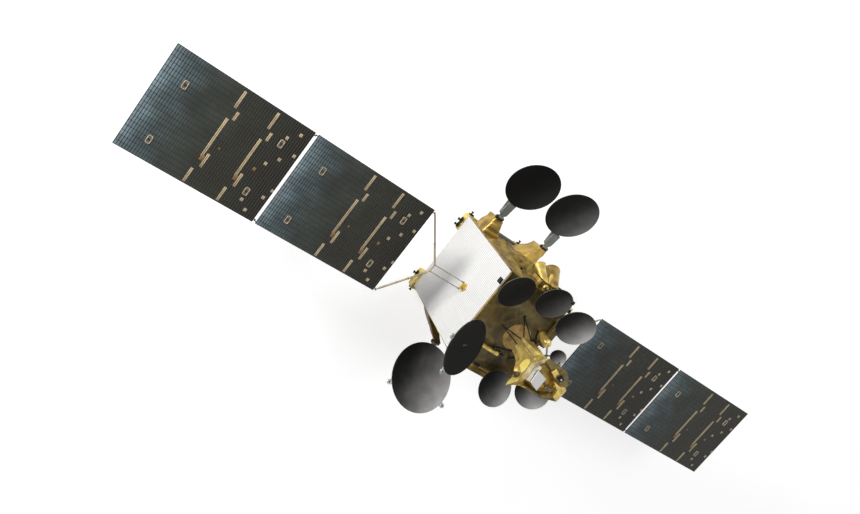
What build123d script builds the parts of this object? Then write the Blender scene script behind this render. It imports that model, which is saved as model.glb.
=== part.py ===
from build123d import *
import os
from math import cos, radians, sin, sqrt

os.makedirs("parts", exist_ok=True)

# A three-axis communications satellite, in millimetres. Z is up from the lower face
# of the separation ring, Y runs north along the solar arrays, X points east.

# Bus
bus_x = 2200
bus_y = 1826
bus_z = 2880
deck_wall = 30
radiator_wall = 32
radiator_margin = 14

# Separation ring
ring_height = 250
ring_radius = 597
ring_bore = 570
ring_neck = 584
ring_foot = 612
ring_flange = 16

# Apogee engine
nozzle_radius = 170
nozzle_throat = 34
nozzle_chamber = 62
nozzle_length = 150
nozzle_clear = 30
nozzle_wall = 6

# Thrusters and the blanketed boxes that carry them
thruster_throat = 18
thruster_length = 100
thruster_base = 60
thruster_flare = 24
box_drop = 190
thruster_drop = 110
rail_radius = 50
rail_offset = 30
rail_length = 820
sensor_wall = 38

# Solar arrays
array_height = 1840
drive_radius = 78
drive_depth = 34
drive_gap = 5
shaft_radius = 66
shaft_disc = 16
spindle_radius = 24
spindle_depth = 26
running_gap = 0.06
root_reach = 88
root_block_x = 130
root_block_z = 34
root_pin_radius = 7
root_knuckle_radius = 17
root_knuckle_width = 26
rod_spacing = 176
rod_radius = 11
leg_radius = 15
apex_reach = 1864
panel_width = 2200
panel_length = 2990
panel_wall = 25
panel_gap = 72
panel_start = 2680
corner_inset = 40
fold_rise = 35
fold_drop = 20
hinge_radius = 12
hinge_pin_radius = 5
hinge_width = 22
hinge_gap = 2
hinge_web = 30
root_collar = 12
clip_reach = 0.4
clip_size = 42

# Deployed reflectors
shell_wall = 18
bowl_ratio = 0.14
reflector_tilt_east = 18.7
reflector_tilt_west = 33.4
reflector_radius_east = 628
reflector_radius_west = 807
reflector_x_east = 2600
rim_inset_west = 97
reflector_y_east = 655
reflector_y_west = 370
reflector_z_east = 1325
reflector_rise_west = 500
hinge_x_east = 1590
hinge_x_west = -1590
hinge_z_east = 1000
hinge_z_west = 1740
reflector_x_west = hinge_x_west + rim_inset_west - reflector_radius_west
reflector_z_west = hinge_z_west + reflector_rise_west
arm_barrel = 42
arm_pin = 14
arm_neck = 110
arm_width = 220
arm_step = 90
arm_wall = 46
arm_seat_gap = 0.3
arm_far = 0.3
arm_rim_gap = 14
arm_sag = 100
arm_seat = 0.78
bracket_nose = 14
tab_reach = 125
tab_wall = 14
tab_hole = 22
tab_corner = 20
tab_gap = 0.2
ear_wall = 16
ear_gap = 5

# Steered dishes
post_radius = 52
turntable_radius = 54
turntable_wall = 22
turntable_drop = 48
turntable_gap = 5
steer_spindle = 20
steer_depth = 34
ear_spacing = 62
steer_ear_wall = 14
steer_ear_radius = 26
steer_pin = 9
steer_barrel = 20

# Small fixed dish
small_x = 168
small_y = -1030
small_rise = 610
small_radius = 175
small_foot_x = -250
small_foot_y = -860
stalk_radius = 16

# Earth deck furniture
disc_x = -80
disc_y = -280
disc_radius = 330
disc_wall = 24
cone_x = 225
cone_y = -785
cone_base = 95
cone_top = 80
cone_height = 340

# Feed tower
tower_clear = 580
tower_depth = 1000
pocket_depth = 240
strut_radius = 14

deck_top = ring_height + bus_z
tower_low = deck_top + tower_clear
tower_high = tower_low + tower_depth
wing_z = ring_height + array_height
wall_y = bus_y / 2
face_x = bus_x / 2


def save(piece, name):
    piece.part.label = name
    export_step(piece.part, f"parts/{name}.step")


# The bus: a blanketed box between two decks, with a radiator on its north and south walls.
with BuildPart() as bus_body:
    with BuildSketch(Plane.XY.offset(ring_height + deck_wall)):
        Rectangle(bus_x, bus_y - 2 * radiator_wall)
    extrude(amount=bus_z - 2 * deck_wall)
save(bus_body, "bus_body")

decks = [  # name, lower face z
    ("earth_deck", deck_top - deck_wall),
    ("anti_earth_deck", ring_height),
]
for name, z in decks:
    with BuildPart() as deck:
        with BuildSketch(Plane.XY.offset(z)):
            Rectangle(bus_x, bus_y - 2 * radiator_wall)
        extrude(amount=deck_wall)
    save(deck, name)

sides = [("north", 1), ("south", -1)]  # name, sign of y
for name, side in sides:
    middle = (0, side * (wall_y - radiator_wall), ring_height + bus_z / 2)
    inner_face = Plane(middle, x_dir=(1, 0, 0), z_dir=(0, side, 0))
    with BuildPart() as radiator:
        with BuildSketch(inner_face):
            Rectangle(bus_x - 2 * radiator_margin, bus_z - 2 * radiator_margin)
        extrude(amount=radiator_wall)
    save(radiator, f"radiator_{name}")

# The separation ring stands on the floor; its lower flange is what a clamp band holds.
with BuildPart() as separation_ring:
    with BuildSketch(Plane.XZ):
        with BuildLine():
            Polyline(
                (ring_bore, 0),
                (ring_radius, 0),
                (ring_radius, ring_flange),
                (ring_neck, 2 * ring_flange),
                (ring_neck, ring_height - 2 * ring_flange),
                (ring_foot, ring_height - ring_flange),
                (ring_foot, ring_height),
                (ring_bore, ring_height),
                close=True,
            )
        make_face()
    revolve(axis=Axis.Z)
save(separation_ring, "separation_ring")

# The apogee engine hangs inside the ring, its bell open downwards.
nozzle_exit = nozzle_clear
nozzle_top = nozzle_clear + nozzle_length
with BuildPart() as apogee_engine:
    with BuildSketch(Plane.XZ):
        with BuildLine():
            bell = Bezier(
                (nozzle_radius, nozzle_exit),
                (nozzle_radius * 0.62, nozzle_exit + nozzle_length * 0.45),
                (nozzle_throat, nozzle_top),
            )
            Line(bell @ 1, (nozzle_chamber, nozzle_top + 14))
            Line((nozzle_chamber, nozzle_top + 14), (nozzle_chamber, ring_height))
            Line((nozzle_chamber, ring_height), (0, ring_height))
            Line((0, ring_height), (0, nozzle_top))
            Line((0, nozzle_top), (nozzle_throat - nozzle_wall, nozzle_top))
            lining = Bezier(
                (nozzle_throat - nozzle_wall, nozzle_top),
                (nozzle_radius * 0.62 - nozzle_wall, nozzle_exit + nozzle_length * 0.45),
                (nozzle_radius - nozzle_wall, nozzle_exit),
            )
            Line(lining @ 1, bell @ 0)
        make_face()
    revolve(axis=Axis.Z)
save(apogee_engine, "apogee_engine")

# Blanketed boxes under the anti-Earth deck, one in each corner, carry the thrusters.
boxes = [  # centre x, centre y, width x, width y
    (-910, 800, 480, 360),
    (870, 770, 460, 300),
    (-870, -770, 460, 300),
    (910, -800, 480, 360),
]
with BuildPart() as thruster_boxes:
    for x, y, width, depth in boxes:
        with BuildSketch(Plane.XY.offset(ring_height)):
            with Locations((x, y)):
                RectangleRounded(width, depth, 60)
        extrude(amount=-box_drop)
save(thruster_boxes, "thruster_boxes")

# A thruster is a short base and a flared nozzle along its own axis.
low = ring_height - thruster_drop
high = deck_top - 380
thruster_places = [  # x, y, z of the seat, then the nozzle's direction
    (face_x, 820, low, 1, 0, 0),
    (740, 920, low, 0, 1, 0),
    (880, 920, low, 0, 1, 0),
    (-810, 980, low, 0, 1, 0),
    (-1150, 870, low, -1, 0, 0),
    (1150, -740, low, 1, 0, 0),
    (face_x, 500, high, 1, 0, 0),
    (-face_x, -820, low, -1, 0, 0),
    (-740, -920, low, 0, -1, 0),
    (-880, -920, low, 0, -1, 0),
    (810, -980, low, 0, -1, 0),
    (-face_x, -640, high, -1, 0, 0),
]
with BuildPart() as thrusters:
    for x, y, z, dx, dy, dz in thruster_places:
        seat = Plane((x, y, z), z_dir=(dx, dy, dz))
        with BuildSketch(seat):
            Circle(thruster_base / 2)
        extrude(amount=thruster_base)
        with BuildSketch(seat.offset(thruster_base)):
            Circle(thruster_throat)
        extrude(amount=thruster_length - thruster_base, taper=-thruster_flare)
save(thrusters, "thrusters")

# A grey tube runs along the lower part of the east wall.
with BuildPart() as east_rail:
    with BuildSketch(Plane((0, -580, ring_height + 80), x_dir=(1, 0, 0), z_dir=(0, 1, 0))):
        with Locations((face_x + rail_offset, 0)):
            Circle(rail_radius)
    extrude(amount=rail_length)
    split(bisect_by=Plane((face_x, 0, 0), z_dir=(1, 0, 0)), keep=Keep.TOP)
save(east_rail, "east_rail")

# A star sensor looks out of the north radiator near its upper east corner.
with BuildPart() as star_sensor:
    with BuildSketch(Plane((782, wall_y, deck_top - 85), x_dir=(1, 0, 0), z_dir=(0, 1, 0))):
        Rectangle(120, 120)
    extrude(amount=sensor_wall)
save(star_sensor, "star_sensor")

# Solar arrays. Each drive turns its wing about Y; the yoke and the two panels fold at
# three hinge lines that run along X.
housing_face = wall_y + drive_depth
shaft_face = housing_face + drive_gap
root_y = wall_y + root_reach
panel_hinge_y = panel_start - panel_gap / 2
mid_hinge_y = panel_start + panel_length + panel_gap / 2
corner_x = panel_width / 2 - corner_inset
rod_x = rod_spacing / 2
block_end = rod_x - root_knuckle_width / 2 - hinge_gap


def outward(side, y):
    return Plane((0, side * y, wing_z), x_dir=(1, 0, 0), z_dir=(0, side, 0))


def across(side, x, y, rise):
    return Plane((x, side * y, wing_z + rise), x_dir=(0, 1, 0), z_dir=(1, 0, 0))


for name, side in sides:
    with BuildPart() as housing:
        with BuildSketch(outward(side, wall_y)):
            Circle(drive_radius)
        extrude(amount=drive_depth)
        with BuildSketch(outward(side, housing_face)):
            Circle(spindle_radius + running_gap)
        extrude(amount=-(drive_depth - 2), mode=Mode.SUBTRACT)
    save(housing, f"drive_housing_{name}")

    with BuildPart() as shaft:
        with BuildSketch(outward(side, shaft_face)):
            Circle(shaft_radius)
        extrude(amount=shaft_disc)
        with BuildSketch(outward(side, shaft_face)):
            Circle(spindle_radius)
        extrude(amount=-(drive_gap + spindle_depth))
        with BuildSketch(outward(side, shaft_face + shaft_disc)):
            Rectangle(2 * block_end, root_block_z)
        extrude(amount=root_y + root_knuckle_radius - shaft_face - shaft_disc)
        pin_length = rod_x + root_knuckle_width / 2 + root_collar
        with BuildSketch(across(side, 0, root_y, 0)):
            Circle(root_pin_radius)
        extrude(amount=pin_length, both=True)
        for end in (-1, 1):
            with BuildSketch(across(side, end * (rod_x + root_knuckle_width / 2 + hinge_gap), root_y, 0)):
                Circle(root_knuckle_radius)
            extrude(amount=end * root_collar)
    save(shaft, f"drive_shaft_{name}")

    with BuildPart() as yoke:
        for end in (-1, 1):
            root = Vector(end * rod_x, side * root_y, wing_z)
            apex = Vector(end * rod_x, side * apex_reach, wing_z)
            corner = Vector(end * corner_x, side * panel_hinge_y, wing_z)
            with BuildSketch(across(side, end * rod_x - root_knuckle_width / 2, root_y, 0)):
                Circle(root_knuckle_radius)
            extrude(amount=root_knuckle_width)
            with BuildSketch(Plane(root, z_dir=apex - root)):
                Circle(rod_radius)
            extrude(amount=(apex - root).length)
            leg = corner - apex
            with BuildSketch(Plane(apex, z_dir=leg)):
                Circle(leg_radius)
            extrude(amount=leg.length)
            with Locations(Location(apex)):
                Sphere(leg_radius)
            with Locations(Location(apex + leg * clip_reach)):
                Box(clip_size, clip_size, clip_size)
            with BuildSketch(across(side, end * corner_x - hinge_width / 2, panel_hinge_y, 0)):
                with Locations((0, fold_rise / 2)):
                    Rectangle(2 * hinge_radius, fold_rise)
                with Locations((0, fold_rise)):
                    Circle(hinge_radius)
                Circle(leg_radius)
            extrude(amount=hinge_width)
            with BuildSketch(across(side, end * corner_x, panel_hinge_y, fold_rise)):
                Circle(hinge_pin_radius)
            extrude(amount=end * -(hinge_width * 1.5 + hinge_gap))
        with BuildSketch(Plane((-rod_x, side * apex_reach, wing_z), z_dir=(1, 0, 0))):
            Circle(leg_radius)
        extrude(amount=rod_spacing)
        with BuildSketch(across(side, 0, root_y, 0)):
            Circle(root_pin_radius + running_gap)
        extrude(amount=rod_spacing, both=True, mode=Mode.SUBTRACT)
    save(yoke, f"yoke_{name}")

    panels = [  # name, first edge y, has a barrel towards the yoke, carries the next panel
        ("inner", panel_start, True),
        ("outer", panel_start + panel_length + panel_gap, False),
    ]
    for row, start, inner in panels:
        if inner:
            hinge_y, rise = panel_hinge_y, fold_rise
        else:
            hinge_y, rise = mid_hinge_y, -fold_drop
        with BuildPart() as panel:
            with BuildSketch(Plane.XY.offset(wing_z - panel_wall / 2)):
                with Locations((0, side * (start + panel_length / 2))):
                    Rectangle(panel_width, panel_length)
            extrude(amount=panel_wall)
            for end in (-1, 1):
                ear_x = end * (corner_x - hinge_width - hinge_gap)
                with BuildSketch(across(side, ear_x - hinge_width / 2, hinge_y, rise)):
                    Circle(hinge_radius)
                    Polygon(
                        (-side * hinge_radius, 0),
                        (side * hinge_radius, 0),
                        (side * (start - hinge_y + hinge_web), -rise),
                        (side * (start - hinge_y), -rise),
                        align=None,
                    )
                extrude(amount=hinge_width)
                with BuildSketch(across(side, ear_x - hinge_width, hinge_y, rise)):
                    Circle(hinge_pin_radius + running_gap)
                extrude(amount=2 * hinge_width, mode=Mode.SUBTRACT)
                if inner:
                    tail = start + panel_length
                    knuckle_x = end * corner_x - hinge_width / 2
                    with BuildSketch(across(side, knuckle_x, mid_hinge_y, -fold_drop)):
                        Circle(hinge_radius)
                        Polygon(
                            (-side * hinge_radius, 0),
                            (side * hinge_radius, 0),
                            (side * (tail - mid_hinge_y), fold_drop),
                            (side * (tail - mid_hinge_y - hinge_web), fold_drop),
                            align=None,
                        )
                    extrude(amount=hinge_width)
                    with BuildSketch(across(side, end * corner_x, mid_hinge_y, -fold_drop)):
                        Circle(hinge_pin_radius)
                    extrude(amount=end * -(hinge_width * 1.5 + hinge_gap))
        save(panel, f"{row}_panel_{name}")


def bowl_front(reach, radius):
    """Height of a bowl's spherical front below its rim plane, at a reach from its axis."""
    depth = bowl_ratio * radius
    sphere = (radius**2 + depth**2) / (2 * depth)
    return sphere - depth - sqrt(sphere**2 - reach**2)


def bowl_back(reach, radius):
    return bowl_front(reach, radius) - shell_wall


def bowl(section, axis, radius):
    """A dished shell: the front and the back are the same sphere, a wall apart."""
    with BuildPart() as shell:
        with BuildSketch(section):
            with BuildLine():
                ThreePointArc((0, bowl_front(0, radius)), (radius / 2, bowl_front(radius / 2, radius)),
                              (radius, 0))
                Line((radius, 0), (radius, -shell_wall))
                ThreePointArc((radius, -shell_wall), (radius / 2, bowl_back(radius / 2, radius)),
                              (0, bowl_back(0, radius)))
                Line((0, bowl_back(0, radius)), (0, bowl_front(0, radius)))
            make_face()
        revolve(axis=axis)
    return shell


def rim_tabs(section, radius, width, angles):
    """Lifting tabs under a rim: a drilled triangle with rounded corners at each angle."""
    plane = section.location * Location((0, 0, 0), (-90, 0, 0))
    with BuildPart() as tabs:
        for angle in angles:
            with BuildSketch(Plane(plane * Location((0, 0, -shell_wall), (0, 0, angle)))):
                with BuildLine():
                    Polyline(
                        (radius - width / 2, -width / 2),
                        (radius + tab_reach, -tab_corner),
                        (radius + tab_reach, tab_corner),
                        (radius - width / 2, width / 2),
                        close=True,
                    )
                make_face()
                with Locations((radius + tab_reach / 2, 0)):
                    Circle(tab_hole, mode=Mode.SUBTRACT)
                Circle(radius + tab_gap, mode=Mode.SUBTRACT)
            extrude(amount=tab_wall)
    return tabs


# Reflectors on deployment hinges. A bracket on the bus wall carries the hinge pin; the
# arm runs from its barrel under the reflector's rim and along its back.
east_foot = hinge_z_east - 170
east_nose = hinge_z_east - 149
reflectors = [  # name, side, centre x y z, hinge x y z, tilt, radius, arm's sag
    ("east_north", 1, reflector_x_east, reflector_y_east, reflector_z_east, hinge_x_east, 660,
     hinge_z_east, reflector_tilt_east, reflector_radius_east, arm_sag),
    ("east_south", 1, reflector_x_east, -reflector_y_east, reflector_z_east, hinge_x_east, -820,
     hinge_z_east, reflector_tilt_east, reflector_radius_east, arm_sag),
    ("west", -1, reflector_x_west, reflector_y_west, reflector_z_west, hinge_x_west, reflector_y_west,
     hinge_z_west, reflector_tilt_west, reflector_radius_west, 0),
]
brackets = {  # sections from the wall to the nose: reach, y, z, width, height
    "east_north": [(0, 650, east_foot, 340, 420), (434, 650, east_nose, 190, 382)],
    "east_south": [(0, -640, east_foot, 400, 440), (434, -800, east_nose, 200, 382)],
    "west": [(0, 600, hinge_z_west - 620, 420, 560), (150, 560, hinge_z_west - 540, 260, 360),
             (434, reflector_y_west, hinge_z_west, 152, 84)],
}
for name, side, x, y, z, hinge_x, hinge_y, hinge_z, tilt, radius, sag in reflectors:
    inward = Vector(-side * cos(radians(tilt)), 0, -sin(radians(tilt)))
    normal = Vector(-side * sin(radians(tilt)), 0, cos(radians(tilt)))
    centre = Vector(x, y, z)
    section = Plane(centre, x_dir=inward, z_dir=inward.cross(normal))
    reach = (hinge_x - x) * inward.X + (hinge_z - z) * inward.Z
    rise = (hinge_x - x) * normal.X + (hinge_z - z) * normal.Z
    reflector = bowl(section, Axis(centre, normal), radius)
    save(reflector, f"reflector_{name}")

    beside = Plane(Vector(x, hinge_y, z), x_dir=inward, z_dir=inward.cross(normal))
    offset = max(0, abs(hinge_y - y) - arm_width / 2)
    with BuildPart() as arm:
        far = -radius * arm_far
        near = radius * arm_seat if sag else radius
        tip = bowl_back(sqrt(near**2 + offset**2), radius) - arm_seat_gap
        middle = bowl_back(offset, radius) - arm_seat_gap
        end = bowl_back(sqrt(far**2 + offset**2), radius) - arm_seat_gap
        rim = radius + arm_rim_gap
        rim_top = -shell_wall - arm_seat_gap - sag
        rim_foot = -shell_wall - arm_wall * 1.6 - sag * 0.8
        widths = [(reach, arm_neck)]
        if reach - arm_step > rim:
            widths.append((reach - arm_step, arm_width))
        for start, width in widths:
            slope = (start - rim) / (reach - rim)
            lip = (1 - slope) * rim_top + slope * (rise + arm_wall / 2)
            keel = (1 - slope) * rim_foot + slope * (rise - arm_wall / 2)
            with BuildSketch(beside):
                with BuildLine():
                    Polyline(
                        (near, tip),
                        (rim, rim_top),
                        (start, lip),
                        (start, keel),
                        (rim, rim_foot),
                        (0, bowl_back(0, radius) - arm_wall),
                        (far, bowl_back(far, radius) - arm_wall),
                        (far, end),
                    )
                    ThreePointArc((far, end), (0, middle), (near, tip))
                make_face()
            extrude(amount=width / 2, both=True)
        with BuildSketch(beside):
            with Locations((reach, rise)):
                Circle(arm_barrel)
        extrude(amount=arm_neck / 2, both=True)
        with BuildSketch(beside):
            with Locations((reach, rise)):
                Circle(arm_pin + running_gap)
        extrude(amount=arm_neck, both=True, mode=Mode.SUBTRACT)
    save(arm, f"arm_{name}")

    hinge = Plane((hinge_x, hinge_y, hinge_z), x_dir=(1, 0, 0), z_dir=(0, -1, 0))
    with BuildPart() as bracket:
        sections = brackets[name]
        for start, end in zip(sections, sections[1:]):
            for span, foot_y, foot_z, width, height in (start, end):
                wall = Plane((side * (face_x + span), foot_y, foot_z), x_dir=(0, 1, 0), z_dir=(side, 0, 0))
                with BuildSketch(wall):
                    Rectangle(width, height)
            loft()
        for end in (-1, 1):
            ear = hinge.offset(end * (arm_neck / 2 + ear_gap))
            with BuildSketch(ear):
                Circle(arm_barrel)
                with Locations((-side * (arm_barrel + bracket_nose) / 2, 0)):
                    Rectangle(arm_barrel + bracket_nose, 2 * arm_barrel)
            extrude(amount=end * ear_wall)
        with BuildSketch(hinge):
            Circle(arm_pin)
        extrude(amount=arm_neck / 2 + ear_gap + ear_wall, both=True)
    save(bracket, f"bracket_{name}")

    if name == "west":
        save(rim_tabs(section, radius, 220, (119, -115)), "rim_tabs_west")

# Steered dishes. A turntable turns on a post about Z; its two ears carry the tilt pin
# that the dish's arm hangs on.
dishes = [  # name, centre x y, rise, normal x y z, radius, tilt pin x y, rise, knee x y, rise, arm
    ("north_west", -666, 1015, 610, 0.22, -0.47, 0.85, 650, -600, -215, 125, -560, 560, 170, 28),
    ("north_east", 870, 770, 430, -0.21, -0.21, 0.95, 420, 830, 730, 200, 850, 750, 270, 17),
    ("east", 1060, -250, 310, -0.28, 0, 0.96, 407, 1000, -250, 125, 1030, -250, 170, 17),
    ("south_east", 908, -930, 560, -0.25, 0.17, 0.95, 434, 860, -790, 320, 880, -850, 390, 17),
    ("west", -1240, -470, 350, 0.36, 0.06, 0.93, 410, -1020, -470, 135, -1120, -470, 190, 17),
    ("south_west", -800, -1100, 630, 0.05, 0.40, 0.92, 387, -760, -800, 320, -770, -900, 410, 17),
]
posts = []
for name, x, y, rise, nx, ny, nz, radius, pin_x, pin_y, pin_rise, *knee_place in dishes:
    knee_x, knee_y, knee_rise, thick = knee_place
    centre = Vector(x, y, deck_top + rise)
    pin_z = deck_top + pin_rise
    normal = Vector(nx, ny, nz).normalized()
    pin = Vector(pin_x, pin_y, pin_z)
    back = centre + normal * bowl_back(0, radius)
    downhill = Vector(0, 0, 1).cross(normal).cross(normal).normalized() * -1
    section = Plane(centre, x_dir=downhill, z_dir=downhill.cross(normal))
    knee = Vector(knee_x, knee_y, deck_top + knee_rise)
    level = Vector(knee_x - pin_x, knee_y - pin_y, 0).normalized()
    tilt_axis = level.cross(Vector(0, 0, 1))
    tilt_plane = Plane(pin, x_dir=level, z_dir=tilt_axis)
    table_z = pin_z - turntable_drop
    seat_z = table_z - turntable_wall - turntable_gap
    posts.append((pin_x, pin_y, seat_z))

    with BuildPart() as gimbal:
        with BuildSketch(Plane((pin_x, pin_y, table_z))):
            Circle(turntable_radius)
        extrude(amount=-turntable_wall)
        with BuildSketch(Plane((pin_x, pin_y, table_z - turntable_wall))):
            Circle(steer_spindle)
        extrude(amount=-(turntable_gap + steer_depth - 4))
        for end in (-1, 1):
            with BuildSketch(tilt_plane.offset(end * ear_spacing / 2)):
                Circle(steer_ear_radius)
                with Locations((0, -turntable_drop / 2)):
                    Rectangle(2 * steer_ear_radius, turntable_drop)
            extrude(amount=end * steer_ear_wall)
        with BuildSketch(tilt_plane):
            Circle(steer_pin)
        extrude(amount=ear_spacing / 2 + steer_ear_wall, both=True)
    save(gimbal, f"gimbal_{name}")

    shell = bowl(section, Axis(centre, normal), radius)
    with BuildPart() as dish:
        add(shell.part)
        with BuildSketch(tilt_plane):
            Circle(steer_barrel)
        extrude(amount=ear_spacing / 2 - hinge_gap, both=True)
        for start, end in ((pin, knee), (knee, back + normal * shell_wall / 2)):
            with BuildSketch(Plane(start, z_dir=end - start)):
                Circle(thick)
            extrude(amount=(end - start).length)
        with Locations(Location(knee)):
            Sphere(thick)
        with BuildSketch(tilt_plane):
            Circle(steer_pin + running_gap)
        extrude(amount=ear_spacing, both=True, mode=Mode.SUBTRACT)
    save(dish, f"dish_{name}")

    if name == "north_west":
        save(rim_tabs(section, radius, 290, (-37, 35)), "rim_tabs_north_west")

with BuildPart() as dish_posts:
    for x, y, z in posts:
        with BuildSketch(Plane.XY.offset(deck_top)):
            with Locations((x, y)):
                Circle(post_radius)
        extrude(amount=z - deck_top)
    for x, y, z in posts:
        with BuildSketch(Plane.XY.offset(z)):
            with Locations((x, y)):
                Circle(steer_spindle + running_gap)
        extrude(amount=-steer_depth, mode=Mode.SUBTRACT)
save(dish_posts, "dish_posts")

# The small dish stands on its own fixed stalk at the south edge of the deck.
small_centre = Vector(small_x, small_y, deck_top + small_rise)
small_normal = Vector(-0.14, 0.44, 0.89).normalized()
small_back = small_centre + small_normal * bowl_back(0, small_radius)
small_down = Vector(0, 0, 1).cross(small_normal).cross(small_normal).normalized() * -1
small_section = Plane(small_centre, x_dir=small_down, z_dir=small_down.cross(small_normal))
small_shell = bowl(small_section, Axis(small_centre, small_normal), small_radius)
small_foot = Vector(small_foot_x, small_foot_y, deck_top)
with BuildPart() as dish_small:
    add(small_shell.part)
    stalk = small_back - small_foot
    with BuildSketch(Plane(small_foot, z_dir=stalk)):
        Circle(stalk_radius)
    extrude(amount=stalk.length + shell_wall / 2)
    with BuildSketch(Plane(small_foot)):
        Circle(stalk_radius * 2)
    extrude(amount=stalk_radius)
    split(bisect_by=Plane.XY.offset(deck_top), keep=Keep.TOP)
save(dish_small, "dish_small")

# Feeds for the deployed reflectors: a blanketed housing on the wall below the Earth deck
# with flared horns that look down at the reflectors.
feeds = [  # name, side of x, housing y, drop of its middle, width, height, depth, then its horns
    ("east", 1, -240, 190, 880, 380, 190, [  # seat reach y drop, mouth reach y drop, two radii
        (70, -40, -20, 320, 100, 530, 55, 110),
        (113, -160, -20, 300, -250, 390, 30, 46),
        (100, -260, 30, 340, -300, 580, 110, 190),
    ]),
    ("west", -1, -50, 160, 700, 300, 170, [
        (80, 200, 120, 130, 200, 350, 70, 90),
    ]),
]
for name, side, y, drop, width, height, depth, horns in feeds:
    wall = side * face_x
    with BuildPart() as feed:
        with BuildSketch(Plane((wall, y, deck_top - drop), x_dir=(0, 1, 0), z_dir=(side, 0, 0))):
            RectangleRounded(width, height, 80)
        extrude(amount=depth)
        for seat_reach, seat_y, seat_drop, mouth_reach, mouth_y, mouth_drop, small, large in horns:
            seat = Vector(wall + side * seat_reach, seat_y, deck_top - seat_drop)
            mouth = Vector(wall + side * mouth_reach, mouth_y, deck_top - mouth_drop)
            with BuildSketch(Plane(seat, z_dir=mouth - seat)):
                Circle(small)
            with BuildSketch(Plane(mouth, z_dir=mouth - seat)):
                Circle(large)
            loft()
        split(bisect_by=Plane((wall, 0, 0), z_dir=(side, 0, 0)), keep=Keep.TOP)
    save(feed, f"feed_{name}")

# On the Earth deck: a blanketed disc and a blunt cone.
with BuildPart() as deck_disc:
    with BuildSketch(Plane.XY.offset(deck_top)):
        with Locations((disc_x, disc_y)):
            Circle(disc_radius)
    extrude(amount=disc_wall)
save(deck_disc, "deck_disc")

with BuildPart() as deck_cone:
    with BuildSketch(Plane.XY.offset(deck_top)):
        with Locations((cone_x, cone_y)):
            Circle(cone_base)
    with BuildSketch(Plane.XY.offset(deck_top + cone_height)):
        with Locations((cone_x, cone_y)):
            Circle(cone_top)
    loft()
save(deck_cone, "deck_cone")

units = [  # x, y, width x, width y, height of the small boxes on the deck
    (-1060, 100, 60, 120, 70),
    (30, -700, 80, 80, 110),
    (1050, -860, 90, 60, 110),
]
with BuildPart() as deck_units:
    for x, y, width, depth, height in units:
        with BuildSketch(Plane.XY.offset(deck_top)):
            with Locations((x, y)):
                Rectangle(width, depth)
        extrude(amount=height)
save(deck_units, "deck_units")

# The feed tower: a blanketed body that flares from its struts to an open top, with the
# feed's own parts inside the top.
neck = [(-200, 0), (-100, 20), (40, 20), (130, 0), (130, -250), (110, -420), (-150, -430),
        (-210, -300), (-215, -120)]
crown = [(-610, 360), (-310, 190), (60, 200), (310, -20), (180, -460), (-80, -950), (-400, -940),
         (-500, -520), (-480, -20)]
pocket = [(-430, 100), (-300, 110), (20, 120), (220, -60), (110, -440), (-100, -780), (-330, -780),
          (-420, -500), (-400, -40)]
with BuildPart() as tower_body:
    for z, outline in ((tower_low, neck), (tower_high, crown)):
        with BuildSketch(Plane.XY.offset(z)):
            Polygon(*outline, align=None)
    loft(ruled=True)
    with BuildSketch(Plane.XY.offset(tower_high)):
        Polygon(*pocket, align=None)
    extrude(amount=-pocket_depth, mode=Mode.SUBTRACT)
save(tower_body, "tower_body")

pocket_floor = tower_high - pocket_depth
insides = [  # name, x, y, rise of the foot, width x, width y, height, turn about Z
    ("tower_unit", -120, -40, 0, 360, 130, 190, 0),
    ("tower_plate", -215, -285, 0, 330, 240, 90, 0),
    ("tower_camera", 52, -590, pocket_depth, 80, 80, 70, 28),
    ("tower_horns", -280, -665, 0, 90, 180, 150, 0),
]
for name, x, y, rise, width, depth, height, turn in insides:
    with BuildPart() as inside:
        with BuildSketch(Plane.XY.offset(pocket_floor + rise)):
            with Locations(Location((x, y, 0), (0, 0, turn))):
                Rectangle(width, depth)
        extrude(amount=height)
    save(inside, name)

struts = [  # foot x, y, then the two ends on the tower's underside x, y
    (-10, 220, -60, -20, 90, -20),
    (410, -90, 110, -30, 110, -300),
    (310, -610, 110, -300, 60, -400),
    (-520, 30, -200, -20, -200, -200),
    (-590, -480, -200, -250, -200, -400),
]
with BuildPart() as tower_struts:
    for x, y, ax, ay, bx, by in struts:
        foot = Vector(x, y, deck_top)
        for end in (Vector(ax, ay, tower_low), Vector(bx, by, tower_low)):
            rod = end - foot
            with BuildSketch(Plane(foot, z_dir=rod)):
                Circle(strut_radius)
            extrude(amount=rod.length)
        with BuildSketch(Plane(foot)):
            Circle(strut_radius * 2.4)
        extrude(amount=strut_radius)
    split(bisect_by=Plane.XY.offset(deck_top), keep=Keep.TOP)
    split(bisect_by=Plane.XY.offset(tower_low), keep=Keep.BOTTOM)
save(tower_struts, "tower_struts")
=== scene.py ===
import math

import bmesh
import bpy
import numpy as np
from mathutils import Matrix


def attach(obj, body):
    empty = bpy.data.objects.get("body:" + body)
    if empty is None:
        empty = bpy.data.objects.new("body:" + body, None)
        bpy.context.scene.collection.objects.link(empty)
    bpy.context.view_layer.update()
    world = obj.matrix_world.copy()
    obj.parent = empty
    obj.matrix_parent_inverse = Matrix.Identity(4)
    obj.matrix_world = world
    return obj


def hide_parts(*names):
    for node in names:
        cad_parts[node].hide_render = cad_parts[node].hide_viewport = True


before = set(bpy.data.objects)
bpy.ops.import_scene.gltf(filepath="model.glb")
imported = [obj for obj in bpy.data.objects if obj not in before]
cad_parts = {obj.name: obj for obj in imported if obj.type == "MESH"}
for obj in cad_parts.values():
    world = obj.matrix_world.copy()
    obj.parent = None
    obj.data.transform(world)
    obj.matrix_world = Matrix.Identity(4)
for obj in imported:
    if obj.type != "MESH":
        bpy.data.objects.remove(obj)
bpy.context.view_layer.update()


# shapes as arrays of points

def vec(x, y, z):
    return np.array([x, y, z], float)


def unit(v):
    v = np.asarray(v, float)
    return v / np.linalg.norm(v)


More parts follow.
